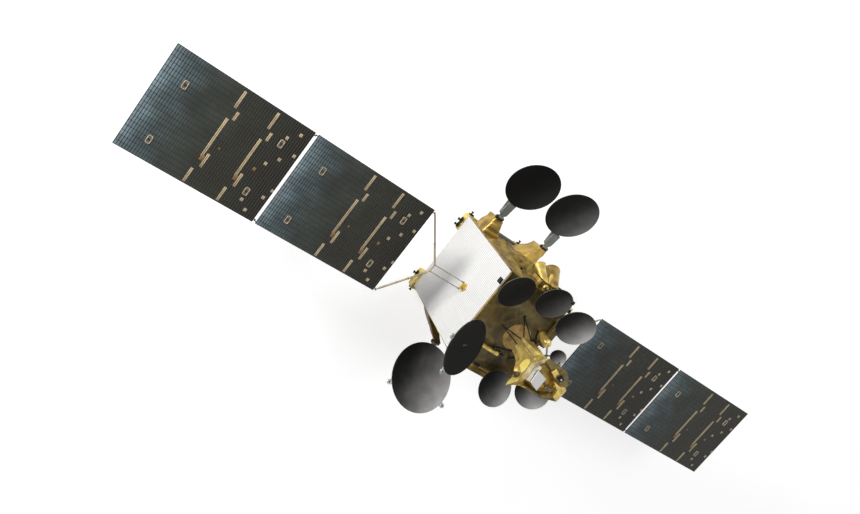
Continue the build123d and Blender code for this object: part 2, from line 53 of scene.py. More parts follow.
def sideways(axis):
    # two unit directions square to the axis, the second being axis x first
    axis = unit(axis)
    first = unit(np.cross(axis, vec(0, 0, 1) if abs(axis[2]) < 0.9 else vec(1, 0, 0)))
    return first, np.cross(axis, first)


def gridFaces(rows, cols, closeRows=False, closeCols=False):
    # four-sided faces between neighbouring points of a rows x cols grid, wrapped where it closes
    r = np.arange(rows if closeRows else rows - 1)[:, None]
    c = np.arange(cols if closeCols else cols - 1)[None, :]
    nextRow, nextCol = (r + 1) % rows, (c + 1) % cols
    corners = [r * cols + c, nextRow * cols + c, nextRow * cols + nextCol, r * cols + nextCol]
    return np.stack(np.broadcast_arrays(*corners), axis=-1).reshape(-1, 4)


def asShape(points, closeRows=False, closeCols=False, flip=False):
    # a grid of points and its faces, turned over when asked
    faces = gridFaces(points.shape[0], points.shape[1], closeRows, closeCols)
    return points.reshape(-1, 3), faces[:, ::-1] if flip else faces


def lumps(points, scale, seed=0):
    # value noise from -1 to 1: random heights at whole-number corners, blended smoothly between
    p = points * scale + 17.3 * (seed + 1)
    cell = np.floor(p).astype(np.int64)
    t = p - cell
    t = t * t * (3 - 2 * t)
    total = np.zeros(p.shape[:-1])
    for corner in ((i, j, k) for i in (0, 1) for j in (0, 1) for k in (0, 1)):
        q = cell + np.array(corner)
        mixed = (q[..., 0] * 73856093) ^ (q[..., 1] * 19349663) ^ (q[..., 2] * 83492791)
        mixed = (mixed ^ (mixed >> 13)) * 1274126177 & 0x7FFFFFFF
        weight = np.prod(np.where(np.array(corner) == 1, t, 1 - t), axis=-1)
        total += weight * (mixed % 10007) / 10006
    return 2 * total - 1


def crumple(points, scale, seed=0, octaves=3):
    # creased film, 0 to about 1: each octave is one minus the size of value noise, so it has ridges
    total, size, weight = 0, 1.0, 0
    for k in range(octaves):
        total = total + size * (1 - 2.2 * np.abs(lumps(points, scale * 1.9 ** k, seed + 5 * k)))
        weight += size
        size *= 0.5
    return np.clip(0.5 + 0.5 * total / weight, 0, 1)


def revolve(profile, origin, axis, count=48):
    # each profile point (reach, height) carried in a circle about the axis
    profile = np.asarray(profile, float)
    across, along = sideways(axis)
    angle = np.linspace(0, 2 * np.pi, count, endpoint=False)
    ring = np.cos(angle)[:, None] * across + np.sin(angle)[:, None] * along
    points = (np.asarray(origin) + profile[:, None, :1] * ring[None]
              + profile[:, None, 1:] * unit(axis)[None, None])
    return asShape(points, closeCols=True)


def tube(path, radius, sides=10, closed=False):
    # a circle of the given radius set square to each step of a path; ends are closed by a point
    path = np.asarray(path, float)
    if closed:
        step = np.roll(path, -1, 0) - np.roll(path, 1, 0)
    else:
        step = np.gradient(path, axis=0)
    step /= np.linalg.norm(step, axis=1)[:, None]
    # a loop is squared to its own plane, an open path to one direction across its mean
    if closed:
        across = unit(np.cross(path[1] - path[0], path[2] - path[1]))
    else:
        across = sideways(step.mean(0) + vec(1e-6, 0, 0))[0]
    first = np.cross(step, across)
    first /= np.linalg.norm(first, axis=1)[:, None]
    second = np.cross(step, first)
    angle = np.linspace(0, 2 * np.pi, sides, endpoint=False)
    points = (path[:, None] + radius * (np.cos(angle)[None, :, None] * first[:, None]
                                        + np.sin(angle)[None, :, None] * second[:, None]))
    if not closed:
        ends = [np.repeat(path[i][None, None], sides, 1) for i in (0, -1)]
        points = np.concatenate([ends[0], points, ends[1]])
    return asShape(points, closeRows=closed, closeCols=True)


def bevelBox(centre, size, bevel, axes=None):
    # a box whose rings of eight points step in by the bevel near each end, as a cut edge does
    half = np.asarray(size, float) / 2
    cut = half - bevel
    ring = np.array([(cut[0], -half[1]), (half[0], -cut[1]), (half[0], cut[1]), (cut[0], half[1]),
                     (-cut[0], half[1]), (-half[0], cut[1]), (-half[0], -cut[1]), (-cut[0], -half[1])])
    inset = ring * (cut[:2] / half[:2])
    levels = [(inset * 0, -half[2]), (inset, -half[2]), (ring, -cut[2]), (ring, cut[2]),
              (inset, half[2]), (inset * 0, half[2])]
    local = np.stack([np.column_stack([xy, np.full(8, z)]) for xy, z in levels])
    axes = np.eye(3) if axes is None else np.asarray(axes)
    return asShape(local @ axes + np.asarray(centre), closeCols=True)


def skin(outlines, rows, bulge, depth, scale, seed):
    # closed outlines joined in straight steps, pushed out from their middles by creased film;
    # each end is closed through a smaller outline to its middle
    outlines = np.asarray(outlines, float)
    count = outlines.shape[0] - 1
    t = np.linspace(0, 1, rows) * count
    low = np.minimum(t.astype(int), count - 1)
    blend = (t - low)[:, None, None]
    points = outlines[low] * (1 - blend) + outlines[low + 1] * blend
    middle = points.mean(1, keepdims=True)
    out = points - middle
    out /= np.linalg.norm(out, axis=2)[..., None]
    swell = bulge * np.sin(np.pi * np.linspace(0, 1, rows))[:, None, None]
    points = points + out * (swell + depth * crumple(points, scale, seed)[..., None])
    closing = [points[i][None] * k + middle[i][None] * (1 - k) for i in (0, -1) for k in (0.6, 0)]
    points = np.concatenate([closing[1], closing[0], points, closing[2], closing[3]])
    return asShape(points, closeCols=True)


def resample(outline, count):
    # an outline walked at even steps, so that outlines with the same corners match point for point
    outline = np.asarray(outline, float)
    loop = np.vstack([outline, outline[:1]])
    each = count // len(outline)
    t = np.arange(each)[:, None] / each
    return np.concatenate([loop[i] * (1 - t) + loop[i + 1] * t for i in range(len(outline))])


def boxOutline(middle, u, v, width, height, corner, count=40):
    # a rectangle with rounded corners: a circle of the corner's radius pushed out to each quarter
    angle = (np.arange(count) + 0.5) / count * 2 * np.pi
    a = np.sign(np.cos(angle)) * (width / 2 - corner) + corner * np.cos(angle)
    b = np.sign(np.sin(angle)) * (height / 2 - corner) + corner * np.sin(angle)
    return np.asarray(middle) + a[:, None] * np.asarray(u) + b[:, None] * np.asarray(v)


def filmSheet(corner, along, across, sizes, counts, depth, scale, seed, folds=()):
    # a flat sheet lifted along its normal by creased film, tucked down at its edges; each fold
    # adds a tent whose height falls off in a straight line from the segment between two points
    a, b = unit(along), unit(across)
    normal = np.cross(a, b)
    u = np.linspace(0, 1, counts[0])[:, None]
    v = np.linspace(0, 1, counts[1])[None, :]
    points = (np.asarray(corner) + (u * sizes[0])[..., None] * a + (v * sizes[1])[..., None] * b)
    inward = np.minimum(np.minimum(u, 1 - u) * sizes[0], np.minimum(v, 1 - v) * sizes[1])
    tuck = np.clip(inward / 0.05, 0, 1)
    lift = depth * crumple(points, scale, seed) * (0.15 + 0.85 * tuck)
    for start, end, height, width in folds:
        start, end = np.asarray(start, float), np.asarray(end, float)
        line = end - start
        t = np.clip(((points - start) @ line) / (line @ line), 0, 1)
        gap = np.linalg.norm(points - start - t[..., None] * line, axis=-1)
        lift = lift + height * np.clip(1 - gap / width, 0, 1) * tuck
    return points + lift[..., None] * normal


def finishMesh(name, shapes, closed, smoothAngle, uv=None, slots=None):
    # shapes joined into one mesh; slots gives each face the number of its finish
    points = np.concatenate([s[0] for s in shapes])
    starts = np.cumsum([0] + [len(s[0]) for s in shapes[:-1]])
    faces = np.concatenate([s[1] + start for s, start in zip(shapes, starts)])
    mesh = bpy.data.meshes.new(name)
    mesh.from_pydata(points.tolist(), [], faces.tolist())
    if uv is not None:
        layer = mesh.uv_layers.new(name="UVMap")
        layer.data.foreach_set("uv", uv[faces.reshape(-1)].astype(np.float32).ravel())
    if slots is not None:
        mesh.polygons.foreach_set("material_index", np.asarray(slots, np.int32))
    if closed:
        work = bmesh.new()
        work.from_mesh(mesh)
        bmesh.ops.remove_doubles(work, verts=work.verts, dist=1e-5)
        bmesh.ops.recalc_face_normals(work, faces=work.faces)
        work.to_mesh(mesh)
        work.free()
    mesh.shade_smooth()
    if smoothAngle < 180:
        mesh.set_sharp_from_angle(angle=math.radians(smoothAngle))
    return mesh


def addPiece(name, shapes, finish, body="bus", replaces=(), closed=True,
             smoothAngle=40, uv=None, slots=None):
    # one piece of the part: its mesh, its finish or list of finishes, and the body it rides on
    obj = bpy.data.objects.new(name, finishMesh(name, shapes, closed, smoothAngle, uv, slots))
    bpy.context.scene.collection.objects.link(obj)
    for each in [finish] if isinstance(finish, str) else finish:
        obj.data.materials.append(finishes[each])
    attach(obj, body)
    if replaces:
        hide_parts(*replaces)
    return obj


# shader node groups shared by the finishes

def newGroup(name, inputs, outputs):
    # a group whose inputs are numbers with a starting value, or a vector where that is None
    group = bpy.data.node_groups.new(name, "ShaderNodeTree")
    for label, value in inputs.items():
        kind = "NodeSocketVector" if value is None else "NodeSocketFloat"
        socket = group.interface.new_socket(label, in_out="INPUT", socket_type=kind)
        if value is not None:
            socket.default_value = value
    for label in outputs:
        group.interface.new_socket(label, in_out="OUTPUT", socket_type="NodeSocketFloat")
    return group, group.nodes.new("NodeGroupInput"), group.nodes.new("NodeGroupOutput")


def connect(tree, node, **sources):
    # outputs led into a node's named inputs; an underscore stands for a space
    for label, source in sources.items():
        tree.links.new(source, node.inputs[label.replace("_", " ")])


def addNode(tree, kind, settings=None, links=None, values=None):
    # one node, its settings, the outputs that feed it and its fixed values
    node = tree.nodes.new(kind)
    for key, value in (settings or {}).items():
        setattr(node, key, value)
    for key, value in (values or {}).items():
        node.inputs[key].default_value = value
    for key, source in (links or {}).items():
        tree.links.new(source, node.inputs[key])
    return node


def mathNode(tree, operation, a, b=None, clamp=False):
    # one sum, comparison or the like of two outputs or numbers
    node = tree.nodes.new("ShaderNodeMath")
    node.operation = operation
    node.use_clamp = clamp
    for index, value in enumerate((a, b)):
        if isinstance(value, (int, float)):
            node.inputs[index].default_value = value
        elif value is not None:
            tree.links.new(value, node.inputs[index])
    return node.outputs[0]


def product(tree, a, b):
    return mathNode(tree, "MULTIPLY", a, b)


def mixColour(tree, factor, first, second):
    # the first colour where the factor is 0, the second where it is 1; each an output or a value
    node = addNode(tree, "ShaderNodeMix", {"data_type": "RGBA"})
    for socket, value in ((node.inputs[0], factor), (node.inputs[6], first), (node.inputs[7], second)):
        if isinstance(value, bpy.types.NodeSocket):
            tree.links.new(value, socket)
        elif isinstance(value, tuple):
            socket.default_value = (*value, 1)
        else:
            socket.default_value = value
    return node.outputs[2]


def scaleRange(tree, value, low, high, fromLow=0.0, fromHigh=1.0):
    # the value carried in a straight line from one range to another
    node = addNode(tree, "ShaderNodeMapRange", None, {"Value": value},
                   {"From Min": fromLow, "From Max": fromHigh, "To Min": low, "To Max": high})
    return node.outputs[0]


def buildFilmGroup():
    # creased film: warped cells give flat facets, finer cells give small creases
    group, into, out = newGroup("filmCrinkle", {"Vector": None, "Scale": 6.0},
                                ["Height", "Tone", "Crease", "Facet"])
    place, scale = into.outputs[0], into.outputs[1]
    warp = addNode(group, "ShaderNodeTexNoise", None, {"Vector": place, "Scale": scale}, {"Detail": 3.0})
    shift = addNode(group, "ShaderNodeVectorMath", {"operation": "SCALE"}, {0: warp.outputs["Color"]},
                    {"Scale": 0.22})
    moved = addNode(group, "ShaderNodeVectorMath", {"operation": "ADD"}, {0: place, 1: shift.outputs[0]})
    cells = {}
    for name, feature, size in (("big", "F1", scale), ("small", "F1", product(group, scale, 2.7)),
                                ("edge", "DISTANCE_TO_EDGE", scale),
                                ("smooth", "SMOOTH_F1", product(group, scale, 0.6))):
        cells[name] = addNode(group, "ShaderNodeTexVoronoi", {"feature": feature},
                              {"Vector": moved.outputs[0], "Scale": size})
    cells["smooth"].inputs["Smoothness"].default_value = 0.12
    small = cells["small"].outputs["Distance"]
    wide = addNode(group, "ShaderNodeTexNoise", None, {"Vector": place}, {"Scale": 1.7, "Detail": 4.0})
    facet = addNode(group, "ShaderNodeSeparateColor", None, {0: cells["smooth"].outputs["Color"]})
    height = mathNode(group, "ADD", product(group, cells["big"].outputs["Distance"], 0.9),
                      product(group, small, 0.35))
    tone = mathNode(group, "ADD", product(group, small, 0.45), product(group, wide.outputs["Fac"], 0.75),
                    clamp=True)
    crease = mathNode(group, "SUBTRACT", 1.0, product(group, cells["edge"].outputs["Distance"], 9.0),
                      clamp=True)
    connect(group, out, Height=height, Tone=tone, Crease=crease, Facet=facet.outputs[0])
    return group


def buildGrainGroup():
    # fine surface grain and slow blotches
    group, into, out = newGroup("fineGrain", {"Vector": None, "Scale": 60.0}, ["Grain", "Blotch"])
    place, scale = into.outputs[0], into.outputs[1]
    grain = addNode(group, "ShaderNodeTexNoise", None, {"Vector": place, "Scale": scale},
                    {"Detail": 5.0, "Roughness": 0.65})
    slow = product(group, scale, 0.06)
    blotch = addNode(group, "ShaderNodeTexNoise", None, {"Vector": place, "Scale": slow}, {"Detail": 3.0})
    connect(group, out, Grain=grain.outputs["Fac"], Blotch=blotch.outputs["Fac"])
    return group


def buildTileGroup():
    # a grid of tiles over U and V: the lines between them, and a random value for each tile
    group, into, out = newGroup("tileGrid", {"U": 0.0, "V": 0.0, "Columns": 10.0, "Rows": 10.0,
                                             "Column line": 0.05, "Row line": 0.05},
                                ["Column mask", "Row mask", "Tile"])
    u = product(group, into.outputs[0], into.outputs[2])
    v = product(group, into.outputs[1], into.outputs[3])
    columnMask = mathNode(group, "LESS_THAN", mathNode(group, "FRACT", u), into.outputs[4])
    rowMask = mathNode(group, "LESS_THAN", mathNode(group, "FRACT", v), into.outputs[5])
    spot = addNode(group, "ShaderNodeCombineXYZ", None,
                   {"X": mathNode(group, "FLOOR", u), "Y": mathNode(group, "FLOOR", v)})
    value = addNode(group, "ShaderNodeTexWhiteNoise", {"noise_dimensions": "3D"},
                    {"Vector": spot.outputs[0]})
    connect(group, out, Column_mask=columnMask, Row_mask=rowMask, Tile=value.outputs["Value"])
    return group


filmGroup = buildFilmGroup()
grainGroup = buildGrainGroup()
tileGroup = buildTileGroup()
print("stage: shader groups")


def newMaterial(name, **fixed):
    # a material with fixed values on its shader, and a node that gives its coordinates
    material = bpy.data.materials.new(name)
    material.use_nodes = True
    tree = material.node_tree
    shader = tree.nodes["Principled BSDF"]
    for label, value in fixed.items():
        shader.inputs[label.replace("_", " ")].default_value = value
    coords = tree.nodes.new("ShaderNodeTexCoord")
    return material, tree, shader, coords


def placeGroup(tree, group, vector=None, **values):
    # a shared group set into a material, with its fixed values
    node = tree.nodes.new("ShaderNodeGroup")
    node.node_tree = group
    if vector is not None:
        tree.links.new(vector, node.inputs["Vector"])
    for label, value in values.items():
        node.inputs[label.replace("_", " ")].default_value = value
    return node


def bumpInto(tree, shader, height, strength, distance):
    # a height that only turns the shading, for relief too fine for the mesh
    bump = addNode(tree, "ShaderNodeBump", None, {"Height": height},
                   {"Strength": strength, "Distance": distance})
    connect(tree, shader, Normal=bump.outputs[0])


def filmFinish(name, dark, bright, metallic, rough, scale, strength=0.5, distance=0.02, facets=0.5,
               **fixed):
    # metallised film: tone and roughness follow the facets, each facet's tone partly a painted reflection;
    # creases are painted lighter, a painted highlight
    material, tree, shader, coords = newMaterial(name, Metallic=metallic, **fixed)
    film = placeGroup(tree, filmGroup, coords.outputs["Object"], Scale=scale)
    share = mathNode(tree, "ADD", product(tree, film.outputs["Tone"], 1 - facets),
                     product(tree, film.outputs["Facet"], facets))
    tone = mixColour(tree, scaleRange(tree, share, 0, 1, 0.25, 0.8), dark, bright)
    # painted highlight: the creases are mixed towards a lighter gold
    creaseHighlight = tuple(min(1.0, 1.4 * c) for c in bright)
    colour = mixColour(tree, product(tree, film.outputs["Crease"], 0.3), tone, creaseHighlight)
    connect(tree, shader, Base_Color=colour,
            Roughness=scaleRange(tree, film.outputs["Tone"], rough + 0.12, rough - 0.08))
    bumpInto(tree, shader, film.outputs["Height"], strength, distance)
    return material


def grainFinish(name, dark, bright, rough, metallic=0.0, scale=60.0, strength=0.15, **fixed):
    # a plain finish with fine grain in its colour, roughness and surface
    material, tree, shader, coords = newMaterial(name, Metallic=metallic, **fixed)
    grain = placeGroup(tree, grainGroup, coords.outputs["Object"], Scale=scale)
    tone = mathNode(tree, "ADD", product(tree, grain.outputs["Grain"], 0.5),
                    product(tree, grain.outputs["Blotch"], 0.5))
    connect(tree, shader, Base_Color=mixColour(tree, scaleRange(tree, tone, 0, 1, 0.35, 0.65), dark, bright),
            Roughness=scaleRange(tree, grain.outputs["Blotch"], rough - 0.06, rough + 0.06))
    bumpInto(tree, shader, grain.outputs["Grain"], strength, 0.002)
    return material


def placeTiles(tree, place, across, up, **values):
    # the tile grid laid over two parts of a place
    apart = addNode(tree, "ShaderNodeSeparateXYZ", None, {0: place})
    tiles = placeGroup(tree, tileGroup, None, **values)
    connect(tree, tiles, U=apart.outputs[across], V=apart.outputs[up])
    return tiles, apart


def radiatorFinish(name):
    # white mirror tiles in narrow columns with pale grey joints between them
    material, tree, shader, coords = newMaterial(name, Metallic=0.0, Coat_Weight=0.2, Coat_Roughness=0.25)
    tiles = placeTiles(tree, coords.outputs["Object"], 0, 2, Columns=27.0, Rows=8.0, Column_line=0.30,
                       Row_line=0.02)[0]
    white = mixColour(tree, tiles.outputs["Tile"], (0.79, 0.785, 0.77), (0.84, 0.835, 0.82))
    joint = product(tree, tiles.outputs["Column mask"], 0.75)
    connect(tree, shader, Base_Color=mixColour(tree, joint, white, (0.46, 0.455, 0.44)),
            Roughness=scaleRange(tree, tiles.outputs["Tile"], 0.28, 0.34))
    bumpInto(tree, shader, mathNode(tree, "SUBTRACT", 1.0, joint), 0.2, 0.001)
    return material


def cellFinish(name):
    # covered solar cells: tan joints, black corner marks, and a painted reflection, blue-grey at one end of
    # the panel fading to black at the other
    material, tree, shader, coords = newMaterial(name, Coat_Weight=0.2, Coat_Roughness=0.15,
                                                 Specular_IOR_Level=0.15)
    panel = {"Columns": 54.0, "Rows": 20.0}
    lines, apart = placeTiles(tree, coords.outputs["UV"], 0, 1, Column_line=0.26, Row_line=0.10, **panel)
    corners = placeTiles(tree, coords.outputs["UV"], 0, 1, Column_line=0.50, Row_line=0.16, **panel)[0]
    grain = placeGroup(tree, grainGroup, coords.outputs["UV"], Scale=75.0)
    # painted reflection: pale blue-grey at the panel's northern end, black at the other
    paintedReflection = addNode(tree, "ShaderNodeValToRGB", None, {"Fac": apart.outputs[0]})
    reflectionStops = [(0.0, (0.34, 0.45, 0.50)), (0.10, (0.16, 0.225, 0.245)), (0.28, (0.060, 0.080, 0.073)),
             (0.60, (0.024, 0.034, 0.027)), (1.0, (0.004, 0.009, 0.008))]
    ramp = paintedReflection.color_ramp
    while len(ramp.elements) < len(reflectionStops):
        ramp.elements.new(0.5)
    for element, (at, colour) in zip(ramp.elements, reflectionStops):
        element.position = at
        element.color = (*colour, 1)
    shade = product(tree, scaleRange(tree, grain.outputs["Blotch"], 0.0, 1.0, 0.38, 0.62),
                    scaleRange(tree, lines.outputs["Tile"], 0.7, 1.0))
    dimmedReflection = mixColour(tree, 0.45, (0.004, 0.006, 0.006), paintedReflection.outputs[0])
    cell = mixColour(tree, shade, dimmedReflection, paintedReflection.outputs[0])
    seam = mixColour(tree, scaleRange(tree, apart.outputs[0], 0.0, 1.0, 0.05, 0.55), (0.016, 0.020, 0.018),
                     (0.074, 0.054, 0.032))
    joint = mixColour(tree, lines.outputs["Column mask"], cell, seam)
    cross = mixColour(tree, product(tree, lines.outputs["Row mask"], 0.6), joint, seam)
    dot = product(tree, corners.outputs["Column mask"], corners.outputs["Row mask"])
    connect(tree, shader, Base_Color=mixColour(tree, product(tree, dot, 0.85), cross, (0.010, 0.008, 0.006)),
            Roughness=scaleRange(tree, lines.outputs["Tile"], 0.24, 0.34))
    mask = mathNode(tree, "MAXIMUM", lines.outputs["Column mask"], lines.outputs["Row mask"])
    bumpInto(tree, shader, mathNode(tree, "SUBTRACT", 1.0, mask), 0.2, 0.001)
    return material


def dishFinish(name, light, bend):
    # pressed graphite: a fine square weave, and a painted sheen that lightens from one side to the other,
    # standing in for light across the bowl
    material, tree, shader, coords = newMaterial(name, Specular_IOR_Level=0.06)
    weave, apart = placeTiles(tree, coords.outputs["UV"], 0, 1, Columns=60.0, Rows=60.0, Column_line=0.5,
                              Row_line=0.5)
    grain = placeGroup(tree, grainGroup, coords.outputs["Object"], Scale=50.0)
    uneven = product(tree, mathNode(tree, "SUBTRACT", grain.outputs["Blotch"], 0.5), 0.3)
    # painted sheen: dark at the north edge of the face, lighter towards the south
    paintedSheen = mathNode(tree, "ADD", scaleRange(tree, apart.outputs[1], 1.0, 0.0), uneven, clamp=True)
    colour = mixColour(tree, mathNode(tree, "POWER", paintedSheen, bend), (0.006, 0.006, 0.0055), light)
    over = mathNode(tree, "ABSOLUTE", mathNode(tree, "SUBTRACT", weave.outputs["Column mask"],
                                               weave.outputs["Row mask"]))
    connect(tree, shader, Base_Color=mixColour(tree, product(tree, over, 0.10), colour, (0.02, 0.02, 0.02)),
            Roughness=scaleRange(tree, grain.outputs["Blotch"], 0.42, 0.54))
    bumpInto(tree, shader, over, 0.05, 0.001)
    return material


films = {  # dark and bright tone, metallic, roughness, scale, bump strength and distance, facets (the share of painted facet reflection in the tone)
    "deckFilm": ((0.014, 0.010, 0.0035), (0.150, 0.108, 0.034), 0.45, 0.40, 2.4, 0.5, 0.03, 0.30),
    "wallFilm": ((0.060, 0.037, 0.008), (0.56, 0.37, 0.085), 0.7, 0.30, 2.0, 0.3, 0.02, 0.25),
    "towerFilm": ((0.16, 0.105, 0.022), (0.98, 0.72, 0.22), 0.55, 0.24, 2.6, 0.25, 0.02, 0.25),
    "brightFilm": ((0.22, 0.135, 0.026), (0.88, 0.64, 0.19), 0.75, 0.22, 2.4, 0.2, 0.02, 0.25),
    # a pale yellow copy of the film: the painted highlight on the tower's wall
    "paintedHighlightFilm": ((0.82, 0.62, 0.10), (1.0, 0.90, 0.34), 0.05, 0.22, 3.0, 0.15),
    "flapFilm": ((0.022, 0.015, 0.005), (0.26, 0.185, 0.052), 0.5, 0.3, 2.6, 0.2, 0.02, 0.2),
    "darkFilm": ((0.016, 0.011, 0.004), (0.105, 0.075, 0.026), 0.35, 0.36, 3.6),
    "discFilm": ((0.16, 0.095, 0.022), (0.44, 0.28, 0.080), 0.5, 0.36, 8.0, 0.8),
    "silverFilm": ((0.30, 0.27, 0.20), (0.88, 0.84, 0.74), 0.6, 0.26, 3.5, 0.4),
    "shelfFilm": ((0.20, 0.13, 0.035), (0.84, 0.68, 0.36), 0.7, 0.22, 2.6, 0.2, 0.02, 0.2),
}
grains = {  # dark and bright tone, roughness, metallic, scale, bump strength
    "plateWhite": ((0.99, 0.99, 0.96), (1.0, 1.0, 0.98), 0.4, 0.0, 30.0, 0.05),
    "whiteTiles": ((0.76, 0.77, 0.80), (0.86, 0.87, 0.89), 0.45, 0.0, 30.0, 0.05),
    "panelBack": ((0.018, 0.018, 0.018), (0.045, 0.042, 0.038), 0.5, 0.0, 120.0),
    "panelEdge": ((0.030, 0.030, 0.028), (0.070, 0.065, 0.055), 0.5, 0.2, 90.0),
    "strapCream": ((0.42, 0.33, 0.19), (0.68, 0.56, 0.36), 0.45, 0.1, 90.0),
    "strapBrown": ((0.14, 0.070, 0.026), (0.30, 0.165, 0.065), 0.45, 0.2, 90.0),
    "padGrey": ((0.075, 0.065, 0.050), (0.16, 0.145, 0.115), 0.5, 0.1, 80.0),
    "bluePin": ((0.004, 0.004, 0.020), (0.010, 0.010, 0.045), 0.4, 0.0, 80.0),
    "yokeWrap": ((0.24, 0.19, 0.11), (0.48, 0.41, 0.28), 0.42, 0.2, 40.0),
    "graphiteBack": ((0.020, 0.020, 0.021), (0.05, 0.05, 0.05), 0.5, 0.0, 120.0),
    "graphiteRim": ((0.050, 0.049, 0.045), (0.115, 0.110, 0.095), 0.4, 0.1, 120.0),
    "greyArm": ((0.11, 0.12, 0.113), (0.27, 0.285, 0.27), 0.5, 0.1, 9.0),
    "silverMetal": ((0.25, 0.29, 0.30), (0.52, 0.57, 0.58), 0.32, 0.6, 60.0, 0.1),
    "ringAlloy": ((0.42, 0.41, 0.38), (0.58, 0.57, 0.53), 0.34, 0.85, 90.0, 0.1),
    "engineSteel": ((0.10, 0.09, 0.085), (0.24, 0.21, 0.19), 0.38, 0.8, 40.0, 0.1),
}
dull, faint = 0.2, 0.04  # specular levels of the black parts and of the wall seen at a low angle
finishes = {
    **{name: filmFinish(name, *values) for name, values in films.items()},
    **{name: grainFinish(name, *values) for name, values in grains.items()},
    "eastFilm": filmFinish("eastFilm", (0.050, 0.032, 0.009), (0.40, 0.275, 0.070), 0.1, 0.5, 2.6, 0.4,
                           0.02, 0.3, Specular_IOR_Level=faint),
    "blackMetal": grainFinish("blackMetal", (0.003, 0.003, 0.003), (0.012, 0.012, 0.012), 0.5, 0.0, 90.0,
                              Specular_IOR_Level=dull),
    "blackTube": grainFinish("blackTube", (0.002, 0.002, 0.002), (0.006, 0.006, 0.005), 0.6, 0.0, 140.0,
                             Specular_IOR_Level=dull),
    "radiatorTiles": radiatorFinish("radiatorTiles"),
    "solarCells": cellFinish("solarCells"),
    # lit and shaded copies of one graphite: painted shade on the dishes turned away from the light, painted
    # light on those turned towards it
    "graphiteDark": dishFinish("graphiteDark", (0.030, 0.030, 0.028), 3.0),
    "graphiteGrey": dishFinish("graphiteGrey", (0.21, 0.21, 0.205), 2.7),
    "graphitePale": dishFinish("graphitePale", (0.52, 0.52, 0.52), 2.4),
}
print("stage: finishes", len(finishes))


# camera, lights and floor

cameraView = {  # high to the north-east of the part: place in metres, directions, lens in millimetres
    "place": (4.055, 10.922, 17.947),
    "right": (0.60461, -0.74924, 0.27035), "up": (0.76872, 0.45999, -0.44438),
    "back": (0.20859, 0.47650, 0.85407), "lens": 36.17, "sensor": 36.0,
}
cameraData = bpy.data.cameras.new("camera")
cameraData.lens = cameraView["lens"]
cameraData.sensor_width = cameraView["sensor"]
cameraData.clip_end = 300
camera = bpy.data.objects.new("camera", cameraData)
turn = Matrix((cameraView["right"], cameraView["up"], cameraView["back"])).transposed().to_4x4()
camera.matrix_world = Matrix.Translation(cameraView["place"]) @ turn
bpy.context.scene.collection.objects.link(camera)
bpy.context.scene.camera = camera

lamps = {  # place, size and power in watts of each soft light
    "keyLamp": {"place": (8.0, 24.0, 9.0), "size": 7.0, "power": 5700},
    "fillLamp": {"place": (14.0, -4.0, 24.0), "size": 12.0, "power": 1300},
}
for name, lamp in lamps.items():
    data = bpy.data.lights.new(name, "AREA")
    data.shape = "DISK"
    data.size = lamp["size"]
    data.energy = lamp["power"]
    light = bpy.data.objects.new(name, data)
    away = unit(np.array(lamp["place"]) - vec(0, 0, 2))
    first, second = sideways(away)
    light.matrix_world = (Matrix.Translation(lamp["place"])
                          @ Matrix((first, second, away)).transposed().to_4x4())
    bpy.context.scene.collection.objects.link(light)


def directlySeen(tree):
    # 1 for rays of the camera, of mirrors and through glass, 0 for the light they scatter
    path = addNode(tree, "ShaderNodeLightPath")
    mirrored = mathNode(tree, "MAXIMUM", path.outputs["Is Glossy Ray"], path.outputs["Is Transmission Ray"])
    return mathNode(tree, "MAXIMUM", path.outputs["Is Camera Ray"], mirrored)


world = bpy.data.worlds.new("studio")
bpy.context.scene.world = world
world.use_nodes = True
worldTree = world.node_tree
backdrop = worldTree.nodes["Background"]
backdrop.inputs["Color"].default_value = (1, 1, 1, 1)
worldTree.links.new(scaleRange(worldTree, directlySeen(worldTree), 0.2, 1.0), backdrop.inputs["Strength"])

floorSize = {"reach": 60.0, "drop": 0.002}
reach, drop = floorSize.values()
floorMesh = bpy.data.meshes.new("floor")
floorMesh.from_pydata([(-reach, -reach, -drop), (reach, -reach, -drop), (reach, reach, -drop),
                       (-reach, reach, -drop)], [], [(0, 1, 2, 3)])
floor = bpy.data.objects.new("floor", floorMesh)
bpy.context.scene.collection.objects.link(floor)
floorPaint = {"grey": 0.75, "glow": 0.72, "rough": 0.9}
floorMaterial, floorTree, floorShader = newMaterial("floorPaint", Roughness=floorPaint["rough"])[:3]
floorShader.inputs["Base Color"].default_value = (*[floorPaint["grey"]] * 3, 1)
glow = addNode(floorTree, "ShaderNodeEmission", None, None, {"Color": (1, 1, 1, 1)})
glowing = mathNode(floorTree, "MULTIPLY", directlySeen(floorTree), floorPaint["glow"])
floorTree.links.new(glowing, glow.inputs[1])
both = addNode(floorTree, "ShaderNodeAddShader", None,
               {0: floorShader.outputs[0], 1: glow.outputs[0]})
floorTree.links.new(both.outputs[0], floorTree.nodes["Material Output"].inputs["Surface"])
floorMesh.materials.append(floorMaterial)
bpy.context.scene.view_settings.view_transform = "Standard"
print("stage: camera, lights and floor")


# finishes of the CAD nodes that keep their shape

